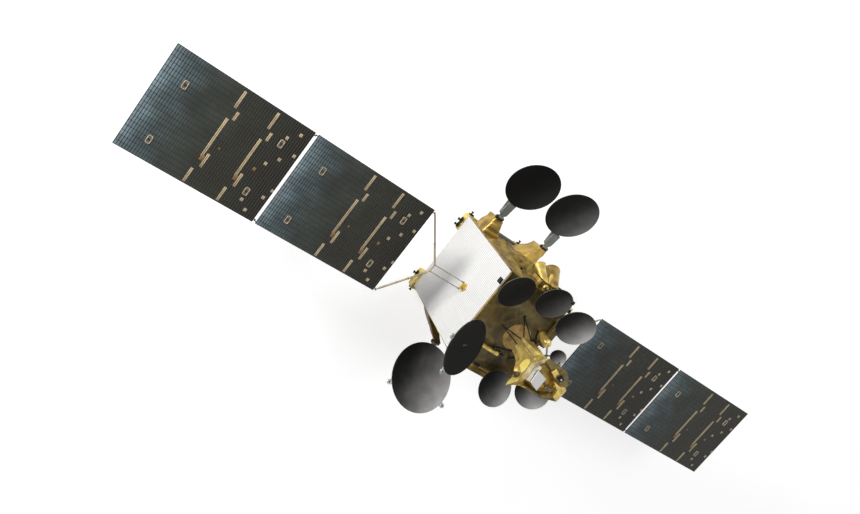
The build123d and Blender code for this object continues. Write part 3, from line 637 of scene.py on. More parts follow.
finishNodes = {  # the nodes of each finish; a node's name may have a place after it
    "wallFilm": ["bus_body", "anti_earth_deck", "thruster_boxes", "bracket", "dish_posts", "feed"],
    "deckFilm": ["earth_deck"], "brightFilm": ["drive_housing", "drive_shaft", "deck_cone"],
    "discFilm": ["deck_disc"], "towerFilm": ["tower_body"], "silverFilm": ["tower_unit"],
    "radiatorTiles": ["radiator"], "whiteTiles": ["tower_plate"], "yokeWrap": ["yoke"],
    "panelEdge": ["inner_panel", "outer_panel"], "graphiteBack": ["reflector", "dish_small", "dish"],
    "blackMetal": ["star_sensor", "thrusters", "gimbal", "deck_units", "tower_camera"],
    "silverMetal": ["rim_tabs", "tower_horns"], "greyArm": ["east_rail", "arm"],
    "ringAlloy": ["separation_ring"], "engineSteel": ["apogee_engine"], "blackTube": ["tower_struts"],
}
nodeFinish = {label: finish for finish, labels in finishNodes.items() for label in labels}
for node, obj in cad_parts.items():
    label = node
    while label not in nodeFinish:
        label = label.rsplit("_", 1)[0]
    obj.data.materials.clear()
    obj.data.materials.append(finishes[nodeFinish[label]])
print("stage: CAD finishes")


# solar panels: cell faces, bus straps, hold-downs, backs

wing = {  # metres; u runs from a panel's northern edge, v from its eastern edge
    "height": 2.09, "wall": 0.025, "width": 2.2, "length": 2.99, "start": 2.68, "gap": 0.072,
    "margin": 0.012, "skin": 0.0015,
}
straps = {  # u and v are shares of the panel's length and width; heights are metres
    "starts": [0.485, 0.730],
    "runs": [(0.0, 0.03, 0.20), (0.035, 0.215, 0.30), (0.0, 0.31, 0.71), (0.032, 0.66, 0.80),
             (-0.005, 0.84, 0.985)],  # shift in u, then v from and to
    "holdDowns": [(0.165, 0.26), (0.167, 0.815), (0.855, 0.25), (0.849, 0.78)],
    "pads": [(0.847, 0.474), (0.906, 0.379), (0.972, 0.283), (0.929, 0.093), (0.914, 0.934),
             (0.965, 0.75), (0.990, 0.657), (0.865, 0.178), (0.855, 0.865)],
    "tanPads": [(0.807, 0.567, 0.011, 0.016), (0.55, 0.573, 0.006, 0.010)],  # u, v, half sizes
    "seat": 0.002, "padHalf": 0.016,
    "strapStripe": (0.0090, 0.0020, 0.004, 0.004),  # u of outer and inner edges, v cut short, thickness
    "padStripe": (0.0100, 0.0015, 0.002, 0.005),
}
harnessShape = {"inner": (0.22, 0.5, 0.78), "outer": (0.30, 0.58, 0.86), "radius": 0.003,
                "below": 0.003, "ties": (0.25, 0.5, 0.75), "tieHalf": 0.006, "tieThick": 0.002}
panelPlaces = {  # the y of each panel's northern edge
    "inner_north": wing["start"] + wing["length"],
    "outer_north": wing["start"] + 2 * wing["length"] + wing["gap"],
    "inner_south": -wing["start"],
    "outer_south": -wing["start"] - wing["length"] - wing["gap"],
}


def onPanel(edge, u, v, rise):
    # u along the panel's length from its northern edge, v across it from the east
    top = wing["height"] + wing["wall"] / 2
    return np.stack(np.broadcast_arrays((0.5 - v) * wing["width"], edge - u * wing["length"],
                                        top + rise), axis=-1)


def panelPlate(edge, u0, u1, v0, v1, rise, thick):
    # a thin plate with cut edges lying on a panel
    middle = onPanel(edge, (u0 + u1) / 2, (v0 + v1) / 2, rise + thick / 2)
    size = (abs(v1 - v0) * wing["width"], abs(u1 - u0) * wing["length"], thick)
    return bevelBox(middle, size, min(size) * 0.3)


def stripedLine(edge, at, low, high, stripe):
    # two cream lines with a brown one between them, set across a panel
    outer, inner, short, thick = stripe
    cream = [panelPlate(edge, at + way * outer, at + way * inner, low, high, seat, thick) for way in (-1, 1)]
    brown = panelPlate(edge, at - inner, at + inner, low + short, high - short, seat, thick - 0.001)
    return cream, [brown]


seat, padHalf = straps["seat"], straps["padHalf"]
for place, edge in panelPlaces.items():
    row, side = place.split("_")
    body = f"{row}_panel_{side}_body"
    marginU, marginV = wing["margin"] / wing["length"], wing["margin"] / wing["width"]
    u = np.linspace(marginU, 1 - marginU, 61)[:, None]
    v = np.linspace(marginV, 1 - marginV, 45)[None, :]
    uv = np.stack(np.broadcast_arrays(u, v), axis=-1).reshape(-1, 2)
    addPiece(f"cells_{place}", [asShape(onPanel(edge, u, v, wing["skin"]), flip=True)],
             "solarCells", body, closed=False, uv=uv)
    cream, brown = [], []
    for start in straps["starts"]:
        for shift, low, high in straps["runs"]:
            lines = stripedLine(edge, start + shift, low, high, straps["strapStripe"])
            cream, brown = cream + lines[0], brown + lines[1]
        brown.append(panelPlate(edge, start - 0.006, start + 0.020, 0.695, 0.748, seat, 0.007))
    for at, across in straps["pads"]:
        lines = stripedLine(edge, at, across - padHalf, across + padHalf, straps["padStripe"])
        cream, brown = cream + lines[0], brown + lines[1]
    for at, across, halfU, halfV in straps["tanPads"]:
        brown.append(panelPlate(edge, at - halfU, at + halfU, across - halfV, across + halfV, seat, 0.006))
    pads, pins = [], []
    for at, across in straps["holdDowns"]:
        centre = onPanel(edge, at, across, seat)
        outline = boxOutline((0, 0, 0), (1, 0, 0), (0, 1, 0), 0.155, 0.085, 0.016, 40)
        cream.append(tube(outline + centre + (0, 0, 0.004), 0.008, 6, closed=True))
        layers = [outline * k + centre + (0, 0, z)
                  for k, z in ((0, 0), (0.86, 0), (0.82, 0.004), (0, 0.004))]
        pads.append(asShape(np.stack(layers), closeCols=True))
        pins.append(revolve([(0, 0.004), (0.028, 0.004), (0.028, 0.009), (0.014, 0.013), (0, 0.013)],
                            centre, (0, 0, 1), 20))
    for kind, parts, finish, slot in (("straps", cream, "strapCream", "yoke_tube"),
                                      ("links", brown, "strapBrown", "yoke_tube"),
                                      ("pads", pads, "padGrey", "yoke_tube"),
                                      ("pins", pins, "bluePin", "black_metal")):
        addPiece(f"{kind}_{place}", parts, finish, body)
    harness = []
    under = -wing["wall"] - harnessShape["below"]
    runs = np.linspace(0.01, 0.99, 40)
    for across in harnessShape[row]:
        path = onPanel(edge, runs, across + 0.004 * np.sin(runs * 21), under)
        harness.append(tube(path, harnessShape["radius"], 6))
    half = harnessShape["tieHalf"]
    for at in harnessShape["ties"]:
        harness.append(panelPlate(edge, at - half, at + half, 0.02, 0.98, under, harnessShape["tieThick"]))
    addPiece(f"harness_{place}", harness, "yokeWrap", body)
    back = onPanel(edge, u, v, -wing["wall"] - 0.0015)
    addPiece(f"back_{place}", [asShape(back)], "panelBack", body, closed=False)
print("stage: solar panels")


# dishes: smooth faces and rims on every shell, rings and ribs behind the larger ones


def leaned(degrees, side):
    # the normal of a deployed reflector, leaned back towards the bus
    lean = math.radians(degrees)
    return -side * math.sin(lean), 0, math.cos(lean)


tiltEast, tiltWest = leaned(18.7, 1), leaned(33.4, -1)
shells = {  # centre, normal, radius in metres, finish of the face: the shaded, half-lit and lit copies of one graphite, by how the light falls on each dish
    "east_north": ((2.6, 0.655, 1.325), tiltEast, 0.628, "graphiteDark"),
    "east_south": ((2.6, -0.655, 1.325), tiltEast, 0.628, "graphiteGrey"),
    "west": ((-2.3, 0.37, 2.24), tiltWest, 0.807, "graphitePale"),
    "steered_north_west": ((-0.666, 1.015, 3.74), (0.22, -0.47, 0.85), 0.65, "graphiteDark"),
    "steered_north_east": ((0.87, 0.77, 3.56), (-0.21, -0.21, 0.95), 0.42, "graphiteDark"),
    "steered_east": ((1.06, -0.25, 3.44), (-0.28, 0, 0.96), 0.407, "graphiteGrey"),
    "steered_south_east": ((0.908, -0.93, 3.69), (-0.25, 0.17, 0.95), 0.434, "graphitePale"),
    "steered_west": ((-1.24, -0.47, 3.48), (0.36, 0.06, 0.93), 0.41, "graphitePale"),
    "steered_south_west": ((-0.8, -1.1, 3.76), (0.05, 0.40, 0.92), 0.387, "graphitePale"),
    "small": ((0.168, -1.03, 3.74), (-0.14, 0.44, 0.89), 0.175, "graphitePale"),
}
dishShape = {  # bowl, rings and ribs' ends are shares of the radius, the rest metres
    "bowl": 0.14, "wall": 0.018, "skin": 0.0015, "bead": 0.008, "ring": 0.016, "rings": (0.45, 0.8),
    "ribs": 8, "ribRadius": 0.010, "ribEnds": (0.12, 0.95), "firstRib": 0.39, "ribbedOver": 0.3,
}


def bowlHeight(reach, radius):
    # height of a sphere below the rim plane: sphere radius less depth less the square root's drop
    depth = dishShape["bowl"] * radius
    sphere = (radius ** 2 + depth ** 2) / (2 * depth)
    return sphere - depth - np.sqrt(sphere ** 2 - reach ** 2)


def shellBody(name):
    # steered dishes and deployed reflectors ride on bodies of their own, the small dish on the bus
    if name == "small":
        return "bus"
    kind, place = ("dish", name[len("steered_"):]) if name.startswith("steered_") else ("reflector", name)
    return f"{kind}_{place}_body"


for name, (centre, normal, radius, tone) in shells.items():
    body = shellBody(name)
    reach = radius * np.sqrt(np.linspace(0, 1, 26))
    front = np.column_stack([reach, bowlHeight(reach, radius) + dishShape["skin"]])
    back = np.column_stack([reach, bowlHeight(reach, radius) - dishShape["wall"] - dishShape["skin"]])
    face = revolve(front[::-1], centre, normal, 96)
    across = (face[0] - centre) / radius  # the weave runs east-west and north-south over each face; the north-south run also carries the painted sheen
    uv = 0.5 + 0.5 * np.column_stack([across @ vec(1, 0, 0) / 0.9, across @ unit((0.25, 0.97, 0)) / 0.95])
    addPiece(f"face_{name}", [face], tone, body, smoothAngle=180,
             closed=False, uv=np.clip(uv, 0, 1))
    bead = dishShape["bead"] * (0.75 if radius < dishShape["ribbedOver"] else 1)
    turn = np.linspace(0, 2 * np.pi, 15)
    profile = np.column_stack([radius - 0.001 + bead * 0.75 * np.cos(turn),
                               -dishShape["wall"] / 2 + bead * np.sin(turn)])
    addPiece(f"rim_{name}", [revolve(profile, centre, normal, 96)], "graphiteRim", body)
    behind = [revolve(back, centre, normal, 96)]
    if radius > dishShape["ribbedOver"]:
        for share in dishShape["rings"]:
            ring = np.array([(-1, 0), (-0.8, -1), (0.8, -1), (1, 0), (-1, 0)]) * dishShape["ring"]
            low = bowlHeight(share * radius, radius) - dishShape["wall"]
            behind.append(revolve(ring + (share * radius, low), centre, normal, 72))
        across, along = sideways(normal)
        for step in range(dishShape["ribs"]):
            angle = step * 2 * np.pi / dishShape["ribs"] + dishShape["firstRib"]
            line = np.linspace(*dishShape["ribEnds"], 24)[:, None] * radius
            path = (np.array(centre) + line * (math.cos(angle) * across + math.sin(angle) * along)
                    + (bowlHeight(line, radius) - dishShape["wall"] - 0.004) * unit(normal))
            behind.append(tube(path, dishShape["ribRadius"], 6))
    addPiece(f"back_{name}", behind, "graphiteBack", body)
print("stage: dishes")


# blankets on the bus

bus = {"x": 1.10, "y": 0.881, "low": 0.25, "high": 3.13, "lift": 0.003}
eastFolds = [  # tents in the east blanket: start, end, height, half width
    ((1.1, 0.12, 2.72), (1.1, -0.10, 2.30), 0.085, 0.13),
    ((1.1, -0.10, 2.30), (1.1, -0.42, 2.05), 0.120, 0.16),
    ((1.1, -0.42, 2.05), (1.1, -0.62, 1.45), 0.095, 0.15),
    ((1.1, -0.10, 2.30), (1.1, 0.25, 1.75), 0.085, 0.15),
    ((1.1, 0.60, 2.90), (1.1, 0.30, 1.20), 0.070, 0.13),
    ((1.1, 0.80, 1.60), (1.1, 0.15, 1.05), 0.070, 0.13),
    ((1.1, -0.30, 1.10), (1.1, -0.60, 2.60), 0.070, 0.13),
]
x, y, low, high, lift = bus.values()
tall = high - low
blankets = {  # corner, along, across, sizes, counts, crease depth and scale, seed, finish
    "east": ((x + lift, -y, low), (0, 1, 0), (0, 0, 1), (2 * y, tall), (90, 130), 0.022, 3.4, 1, "eastFilm"),
    "west": ((-x - lift, y, low), (0, -1, 0), (0, 0, 1), (2 * y, tall), (90, 130), 0.022, 3.4, 2, "wallFilm"),
    "earth": ((-x, -y, high + lift), (1, 0, 0), (0, 1, 0), (2 * x, 2 * y), (140, 115), 0.016, 4.2, 3,
              "deckFilm"),
    "antiEarth": ((x, -y, low - lift), (-1, 0, 0), (0, 1, 0), (2 * x, 2 * y), (100, 80), 0.014, 4.2, 4,
                  "wallFilm"),
}
for name, (*sheet, finish) in blankets.items():
    film = filmSheet(*sheet, eastFolds if name == "east" else ())
    addPiece(f"blanket_{name}", [asShape(film)], finish, closed=False, smoothAngle=180)
runs = [((i * x, -y, z), (i * x, y, z)) for z in (high, low) for i in (1, -1)]
runs += [((-x, j * y, high), (x, j * y, high)) for j in (1, -1)]
runs += [((i * x, j * y, low), (i * x, j * y, high)) for i in (1, -1) for j in (1, -1)]
edges = []
for start, end in runs:
    path = np.linspace(start, end, 90)
    path = path + 0.006 * np.stack([lumps(path, 7.0, k) for k in (1, 2, 3)], axis=-1)
    edges.append(tube(path, 0.016, 8))
addPiece("blanket_edges", edges, "wallFilm", smoothAngle=70)
print("stage: blankets")


# wrapped brackets, boxes and feeds

wraps = {  # upright outlines from the wall to the nose: middle, width along y, height along z
    "bracket_east_north": [((1.10, 0.62, 0.83), 0.46, 0.50), ((1.30, 0.65, 0.84), 0.34, 0.46),
                           ((1.42, 0.65, 0.86), 0.27, 0.37), ((1.525, 0.65, 0.851), 0.22, 0.39)],
    "bracket_east_south": [((1.10, -0.60, 0.83), 0.52, 0.54), ((1.30, -0.70, 0.84), 0.36, 0.46),
                           ((1.42, -0.77, 0.86), 0.28, 0.37), ((1.525, -0.80, 0.851), 0.22, 0.39)],
    "bracket_west": [((-1.10, 0.60, 1.12), 0.44, 0.58), ((-1.25, 0.56, 1.20), 0.28, 0.38),
                     ((-1.525, 0.37, 1.735), 0.16, 0.10)],
}
for name, steps in wraps.items():
    outlines = [boxOutline(middle, (0, 1, 0), (0, 0, 1), width, height, min(width, height) * 0.16, 56)
                for middle, width, height in steps]
    addPiece(f"wrap_{name}", [skin(outlines, 40, 0.0, 0.040, 4.2, len(name))],
             "darkFilm" if name == "bracket_west" else "wallFilm", smoothAngle=60)

boxWraps = [(-0.91, 0.80, 0.48, 0.36), (0.87, 0.77, 0.46, 0.30), (-0.87, -0.77, 0.46, 0.30),
            (0.91, -0.80, 0.48, 0.36)]
shapes = []
for index, (bx, by, width, depth) in enumerate(boxWraps):
    outlines = [boxOutline((bx, by, z), (1, 0, 0), (0, 1, 0), width, depth, 0.06, 56)
                for z in (0.050, 0.15, 0.262)]
    shapes.append(skin(outlines, 22, 0.004, 0.014, 7.0, 30 + index))
addPiece("wrap_thruster_boxes", shapes, "towerFilm", smoothAngle=60)

feedHousings = {  # the blanketed housings under the deck's edge
    "east": {"middle": (0, -0.24, 2.94), "width": 0.88, "height": 0.38, "from": 1.10, "to": 1.29},
    "west": {"middle": (0, -0.05, 2.97), "width": 0.70, "height": 0.30, "from": -1.10, "to": -1.27},
}
for name, box in feedHousings.items():
    outlines = [boxOutline(np.array(box["middle"]) + (at, 0, 0), (0, 1, 0), (0, 0, 1), box["width"],
                           box["height"], 0.08, 64) for at in (box["from"], box["to"])]
    addPiece(f"wrap_feed_{name}", [skin(outlines, 16, 0.006, 0.02, 6.0, 50)], "wallFilm",
             smoothAngle=60)

horns = {  # seat, mouth, seat radius, mouth radius, finish
    "east_column": ((1.17, -0.04, 3.15), (1.42, 0.08, 2.60), 0.070, 0.140, "brightFilm"),
    "east_small": ((1.225, -0.09, 3.10), (1.42, -0.17, 2.84), 0.030, 0.050, "brightFilm"),
    "east_shroud": ((1.20, -0.26, 3.10), (1.44, -0.30, 2.55), 0.120, 0.200, "wallFilm"),
    "west_column": ((-1.18, 0.20, 3.01), (-1.23, 0.20, 2.78), 0.070, 0.090, "brightFilm"),
}
for name, (seat, mouth, small, large, finish) in horns.items():
    # straight outside, curved mouth inside: the inner profile runs back up to a narrow throat
    seat, mouth = np.array(seat), np.array(mouth)
    length = np.linalg.norm(mouth - seat)
    t = np.linspace(0, 1, 18)
    outer = np.column_stack([small + (large - small) * t + 0.004, t * length])
    lip = [(large + 0.010, length), (large + 0.010, length + 0.012), (large - 0.006, length + 0.012)]
    back = t[::-1]
    inner = np.column_stack([(large - 0.012) * (0.35 + 0.65 * back ** 0.7), length * (1 - 0.55 * (1 - back))])
    profile = np.vstack([[(0, -0.004)], outer, lip, inner, [(0, inner[-1, 1])]])
    points, faces = revolve(profile, seat, mouth - seat, 56)
    if finish == "wallFilm":
        points = points + 0.010 * crumple(points, 5.0, 8)[:, None] * unit(mouth - seat)[[1, 0, 2]]
    addPiece(f"horn_{name}", [(points, faces)], finish, smoothAngle=50)
# the film that joins the east horns: a flat fan from the housing to their mouths
fan = []
for share in np.linspace(0, 1, 7):
    middle = vec(1.19, -0.14, 3.12) * (1 - share) + vec(1.43, -0.10, 2.61) * share
    fan.append(boxOutline(middle, (0, 1, 0), unit((0.9, 0, 0.42)), 0.26 + 0.30 * share ** 0.8,
                          0.10 + 0.05 * share, 0.049, 64))
addPiece("wrap_east_feeds", [skin(fan, 40, 0.0, 0.022, 4.0, 61)], "wallFilm", smoothAngle=60)
# the cone's film sleeve, blunt and rounded at the top
cone = [(0.0, -0.008), (0.128, -0.006), (0.122, 0.06), (0.112, 0.18), (0.104, 0.28), (0.098, 0.325),
        (0.080, 0.348), (0.045, 0.362), (0.0, 0.366)]
points, faces = revolve(cone, (0.225, -0.785, 3.135), (0, 0, 1), 48)
points = points + 0.010 * crumple(points, 6.0, 77)[:, None] * unit((1, -1, 0))
addPiece("deck_cone_wrap", [(points, faces)], "towerFilm", smoothAngle=60)

# the small dish's blanketed shelf, narrow enough to clear the folded south wing
shelfEdge = -0.84
shelf = [boxOutline((x, shelfEdge - width / 2, 3.225), (0, 1, 0), (0, 0, 1), width, 0.07, 0.03, 56)
         for x, width in ((0.05, 0.12), (0.20, 0.155), (0.50, 0.155), (0.66, 0.13))]
addPiece("small_dish_shelf", [skin(shelf, 30, 0.0, 0.012, 6.0, 71)], "deckFilm", smoothAngle=60)
print("stage: brackets and feeds")


# the feed tower

tower = {  # metres; waist is the power that keeps the foot narrow
    "low": 3.71, "high": 4.71, "floor": 4.50, "waist": 2.2, "rows": 70, "crease": 0.026,
    "standOff": 0.006, "cornerRise": 0.020, "pinch": 0.16,
}
neck = [(-0.200, 0.000), (-0.100, 0.020), (0.040, 0.020), (0.130, 0.000), (0.130, -0.250),
        (0.110, -0.420), (-0.150, -0.430), (-0.210, -0.300), (-0.215, -0.120)]
crown = [(-0.610, 0.360), (-0.310, 0.190), (0.060, 0.200), (0.310, -0.020), (0.180, -0.460),
         (-0.080, -0.950), (-0.400, -0.940), (-0.500, -0.520), (-0.480, -0.020)]
pocket = [(-0.420, -0.020, 4.640), (-0.310, -0.030, 4.640), (0.010, -0.010, 4.640),
          (0.170, -0.120, 4.660), (0.120, -0.450, 4.690), (-0.120, -0.790, 4.700),
          (-0.340, -0.790, 4.700), (-0.440, -0.500, 4.690), (-0.430, -0.160, 4.660)]
foot = [(corner[0] * 0.95, corner[1] - 0.01, tower["floor"]) for corner in pocket]
perEdge = 12  # points from one corner of an outline to the next


def atHeight(outline, z):
    # an outline in the plane of one height
    return resample([(px, py, z) for px, py in outline], perEdge * len(outline))


def band(outer, inner, rise, thick, depth, seed):
    # a strip between two lines: an arched top of creased film over a flat underside
    s = np.linspace(0, 1, 9)[None, :, None]
    outer, inner = np.asarray(outer, float)[:, None], np.asarray(inner, float)[:, None]
    top = outer * (1 - s) + inner * s
    arch = np.sin(np.pi * s[..., 0])
    top[..., 2] += thick + rise * arch + depth * crumple(top, 7.0, seed) * arch
    under = (outer * (1 - s) + inner * s)[:, ::-1]
    around = np.concatenate([top, under], axis=1)
    ends = [np.repeat(around[k].mean(0)[None, None], around.shape[1], 1) for k in (0, -1)]
    return asShape(np.concatenate([ends[0], around, ends[1]]), closeCols=True)


def walkLine(corners, z, count):
    # evenly numbered points along straight runs between corners at one height
    corners = np.array([(px, py, z) for px, py in corners])
    t = np.linspace(0, len(corners) - 1, count)
    low = np.minimum(t.astype(int), len(corners) - 2)
    return corners[low] * (1 - (t - low)[:, None]) + corners[low + 1] * (t - low)[:, None]


neckLine, crownLine = atHeight(neck, tower["low"]), atHeight(crown, tower["high"])
centre = crownLine.mean(0)
pinch = np.zeros(len(crownLine))  # the edges beside the first corner are drawn in, which sharpens it
pinch[:perEdge] = pinch[-perEdge:] = np.sin(np.linspace(0, np.pi, perEdge, endpoint=False))
crownLine = crownLine + tower["pinch"] * pinch[:, None] * (centre - crownLine)
pocketTop, pocketFoot = resample(pocket, len(crownLine)), resample(foot, len(crownLine))
t = np.linspace(0, 1, tower["rows"])[:, None, None]
wall = neckLine * (1 - t ** tower["waist"]) + crownLine * t ** tower["waist"]
wall[..., 2] = tower["low"] + (tower["high"] - tower["low"]) * t[..., 0]
out = wall - wall.mean(1, keepdims=True)
out[..., 2] = 0
out /= np.linalg.norm(out, axis=2)[..., None] + 1e-9
lift = tower["standOff"] + tower["crease"] * crumple(wall, 1.7, 11, 1)
dents = [((-0.40, 0.20, 4.50), 0.13, -0.070), ((-0.16, 0.16, 4.36), 0.16, 0.045),
         ((0.17, 0.08, 4.45), 0.12, -0.035)]  # middle, width, push outwards
for spot, width, push in dents:  # each dent or bulge is a bell curve about its spot
    lift = lift + push * np.exp(-((wall - spot) ** 2).sum(-1) / width ** 2)
corner = np.abs((np.arange(len(crownLine)) + perEdge / 2) % perEdge - perEdge / 2) / (perEdge / 2)
lift = lift + tower["cornerRise"] * (1 - corner)[None] ** 3  # the film stands proud along each corner
wall = wall + out * lift[..., None] * np.clip(5 * (1 - t), 0, 1)
s = np.linspace(0, 1, 12)[:, None, None]
lipLine = crownLine * (1 - s) + pocketTop * s
lipLine[..., 2] += (0.010 + 0.016 * crumple(lipLine, 5.0, 12)) * np.sin(np.pi * s[..., 0])
s = np.linspace(0, 1, 16)[:, None, None]
inside = pocketTop * (1 - s) + pocketFoot * s
inside = inside - 0.010 * crumple(inside, 6.0, 13)[..., None] * (inside - inside.mean(1, keepdims=True))
k = np.linspace(1, 0, 16)[:, None, None]
ground = pocketFoot.mean(0) + (pocketFoot - pocketFoot.mean(0)) * k
ground[..., 2] += 0.018 * crumple(ground, 7.0, 14) * np.clip(4 * k[..., 0] * (1.2 - k[..., 0]), 0, 1)
under = neckLine.mean(0) + (neckLine - neckLine.mean(0)) * np.linspace(0, 1, 6)[:, None, None]
body = np.concatenate([under, wall[1:], lipLine[1:], inside[1:], ground[1:]])
towerFinishes = ["towerFilm", "brightFilm", "darkFilm", "shelfFilm", "wallFilm", "paintedHighlightFilm", "deckFilm"]


def toneNumbers(*names):
    # the place of each named finish in the tower's list
    return np.array([towerFinishes.index(each) for each in names])


edge = np.arange(len(crownLine)) // perEdge
lipToneAndShade = toneNumbers("wallFilm", "shelfFilm", "shelfFilm", "wallFilm", "towerFilm", "brightFilm",
                      "deckFilm", "deckFilm", "wallFilm")[edge]  # silver north, painted shade along the west
# painted light and shade inside the pocket: darker copies on the north and west walls, which the light
# misses, lit copies on the south walls, which face it
sideLightAndShade = toneNumbers("darkFilm", "darkFilm", "darkFilm", "wallFilm", "towerFilm", "brightFilm",
                       "wallFilm", "darkFilm", "darkFilm")[edge]
highlightTone, dark, plain, floorTone = toneNumbers("paintedHighlightFilm", "darkFilm", "towerFilm", "wallFilm")
slots = np.zeros((len(body) - 1, len(crownLine)), int)
outside = wall[1:]
# painted highlight: a broad pale yellow patch on the wall
highlightPatch = np.linalg.norm(outside - (-0.13, 0.17, 4.50), axis=-1) + 0.07 * crumple(outside, 4.0, 41)
# painted shadow: a dark spot in the dent near the north-west corner
hole = np.linalg.norm(outside - (-0.396, 0.165, 4.50), axis=-1) + 0.02 * crumple(outside, 6.0, 42)
wallRow = len(under) - 1  # the first row of faces of the wall, of the lip and of the pocket
lipRow = wallRow + len(outside)
pocketRow = lipRow + len(lipLine) - 1
# painted shadow in the dent, painted highlight on the patch, the plain film elsewhere
slots[wallRow:lipRow] = np.where(hole < 0.115, dark, np.where(highlightPatch < 0.200, highlightTone, plain))
slots[lipRow:pocketRow] = lipToneAndShade
slots[pocketRow:] = sideLightAndShade
slots[pocketRow + len(inside) - 1:] = floorTone
addPiece("tower_skin", [asShape(body, closeCols=True)], towerFinishes,
         replaces=("tower_body",), smoothAngle=50, slots=slots.ravel())

ridge = [wall[row, 2 * perEdge + 4] + (0.004, 0.012, 0.006) for row in range(2, 60, 3)]
addPiece("tower_ridge", [tube(ridge, 0.019, 10)], "shelfFilm")
strips = {  # outer and inner line with their heights, points, arch, thickness, crease, seed, finish
    "flap": ([(0.318, -0.065), (0.305, -0.260), (0.299, -0.457), (0.270, -0.664), (0.141, -0.803),
              (-0.020, -0.905)], 4.700,
             [(0.200, -0.020), (0.170, -0.190), (0.130, -0.330), (0.060, -0.450), (0.000, -0.530),
              (-0.075, -0.700)], 4.690, 40, 0.010, 0.006, 0.030, 31, "flapFilm"),
    "lip": ([(-0.029, -0.504), (-0.056, -0.710), (-0.084, -0.913), (-0.230, -0.925),
             (-0.393, -0.920)], 4.716,
            [(-0.060, -0.520), (-0.120, -0.630), (-0.169, -0.749), (-0.250, -0.765),
             (-0.346, -0.773)], 4.716, 50, 0.020, 0.004, 0.018, 33, "brightFilm"),
}
for name, (outer, outerZ, inner, innerZ, count, *film, finish) in strips.items():
    strip = band(walkLine(outer, outerZ, count), walkLine(inner, innerZ, count), *film)
    addPiece(f"tower_{name}", [strip], finish)
turned = math.radians(-24)
axes = np.array([(math.cos(turned), math.sin(turned), 0), (-math.sin(turned), math.cos(turned), 0),
                 (0, 0, 1)])
addPiece("tower_tab", [bevelBox((0.128, -0.409, 4.735), (0.118, 0.180, 0.016), 0.004, axes)],
         "brightFilm")

outlines = [boxOutline((-0.12, -0.04, z), (1, 0, 0), (0, 1, 0), 0.36, 0.13, 0.03, 56)
            for z in (4.475, 4.60, 4.66)]
addPiece("tower_unit_wrap", [skin(outlines, 24, 0.0, 0.020, 7.0, 21)], "silverFilm",
         replaces=("tower_unit",), smoothAngle=60)
plateCorners = [(-0.013, -0.064), (-0.314, -0.104), (-0.407, -0.361), (-0.088, -0.356)]
plateLevels = [(0, 4.674), (0.97, 4.674), (1, 4.678), (1, 4.692), (0.97, 4.696), (0, 4.696)]
middle = np.mean(plateCorners, axis=0)
plate = [resample([(*(middle + k * (np.array(c) - middle)), z) for c in plateCorners], 24)
         for k, z in plateLevels]
addPiece("tower_plate_tile", [asShape(np.stack(plate), closeCols=True)], "plateWhite",
         replaces=("tower_plate",))
addPiece("tower_plate_stand", [bevelBox((-0.205, -0.255, 4.575), (0.22, 0.15, 0.20), 0.006)],
         "blackMetal")
hornPair = []
for hx, hy in ((-0.295, -0.615), (-0.290, -0.715)):
    hornPair.append(revolve([(0, 0), (0.026, 0), (0.026, 0.05), (0.018, 0.06), (0.022, 0.10), (0.036, 0.15),
                             (0.031, 0.15), (0.016, 0.10), (0, 0.095)], (hx, hy, 4.472), (0.1, 0.1, 1), 28))
addPiece("tower_horn_pair", hornPair, "silverMetal", replaces=("tower_horns",))
cameraBox = [bevelBox((0.082, -0.602, 4.745), (0.120, 0.115, 0.06), 0.010, axes)]
addPiece("tower_camera_box", cameraBox, "blackMetal", replaces=("tower_camera",))
lens = revolve([(0, 0.012), (0.012, 0.012), (0.020, 0.004), (0.020, -0.004)], (0.082, -0.602, 4.776),
               (0, 0, 1), 24)
addPiece("tower_camera_lens", [lens], "whiteTiles")
strutEnds = [(-0.06, -0.02), (0.09, -0.02), (0.11, -0.03), (0.11, -0.30), (0.06, -0.40), (-0.20, -0.02),
             (-0.20, -0.20), (-0.20, -0.25), (-0.20, -0.40)]
sockets = [revolve([(0, -0.050), (0.019, -0.050), (0.024, -0.020), (0.030, 0.004), (0, 0.004)],
                   (sx, sy, tower["low"]), (0, 0, 1), 20) for sx, sy in strutEnds]
addPiece("tower_sockets", sockets, "silverMetal")
print("stage: tower")


# thrusters and the separation ring's bolts

thrusters = {  # seat plate and valve sizes, radius of the mouth, then each seat and direction
    "plate": (0.100, 0.100, 0.040), "valve": (0.07, 0.042, 0.045), "exit": 0.040, "places": [
        ((1.10, 0.82, 0.14), (1, 0, 0)), ((0.74, 0.92, 0.14), (0, 1, 0)), ((0.88, 0.92, 0.14), (0, 1, 0)),
        ((-0.81, 0.98, 0.14), (0, 1, 0)), ((-1.15, 0.87, 0.14), (-1, 0, 0)),
        ((1.15, -0.74, 0.14), (1, 0, 0)), ((1.10, 0.50, 2.75), (1, 0, 0)),
        ((-1.10, -0.82, 0.14), (-1, 0, 0)), ((-0.74, -0.92, 0.14), (0, -1, 0)),
        ((-0.88, -0.92, 0.14), (0, -1, 0)), ((0.81, -0.98, 0.14), (0, -1, 0)),
        ((-1.10, -0.64, 2.75), (-1, 0, 0))],
}
mouth = thrusters["exit"]
bell = [(0, 0.03), (0.024, 0.034), (0.024, 0.05), (0.015, 0.058), (0.02, 0.072), (0.031, 0.088),
        (mouth, 0.104), (mouth - 0.004, 0.104), (0.026, 0.088), (0.014, 0.07), (0, 0.062)]
shapes = []
for seat, way in thrusters["places"]:
    first, second = sideways(way)
    axes = np.stack([first, second, unit(way)])
    seat = np.array(seat)
    shapes.append(bevelBox(seat + 0.020 * unit(way), thrusters["plate"], 0.008, axes))
    shapes.append(bevelBox(seat + 0.024 * unit(way) + 0.05 * first, thrusters["valve"], 0.006, axes))
    shapes.append(revolve(bell, seat, way, 28))
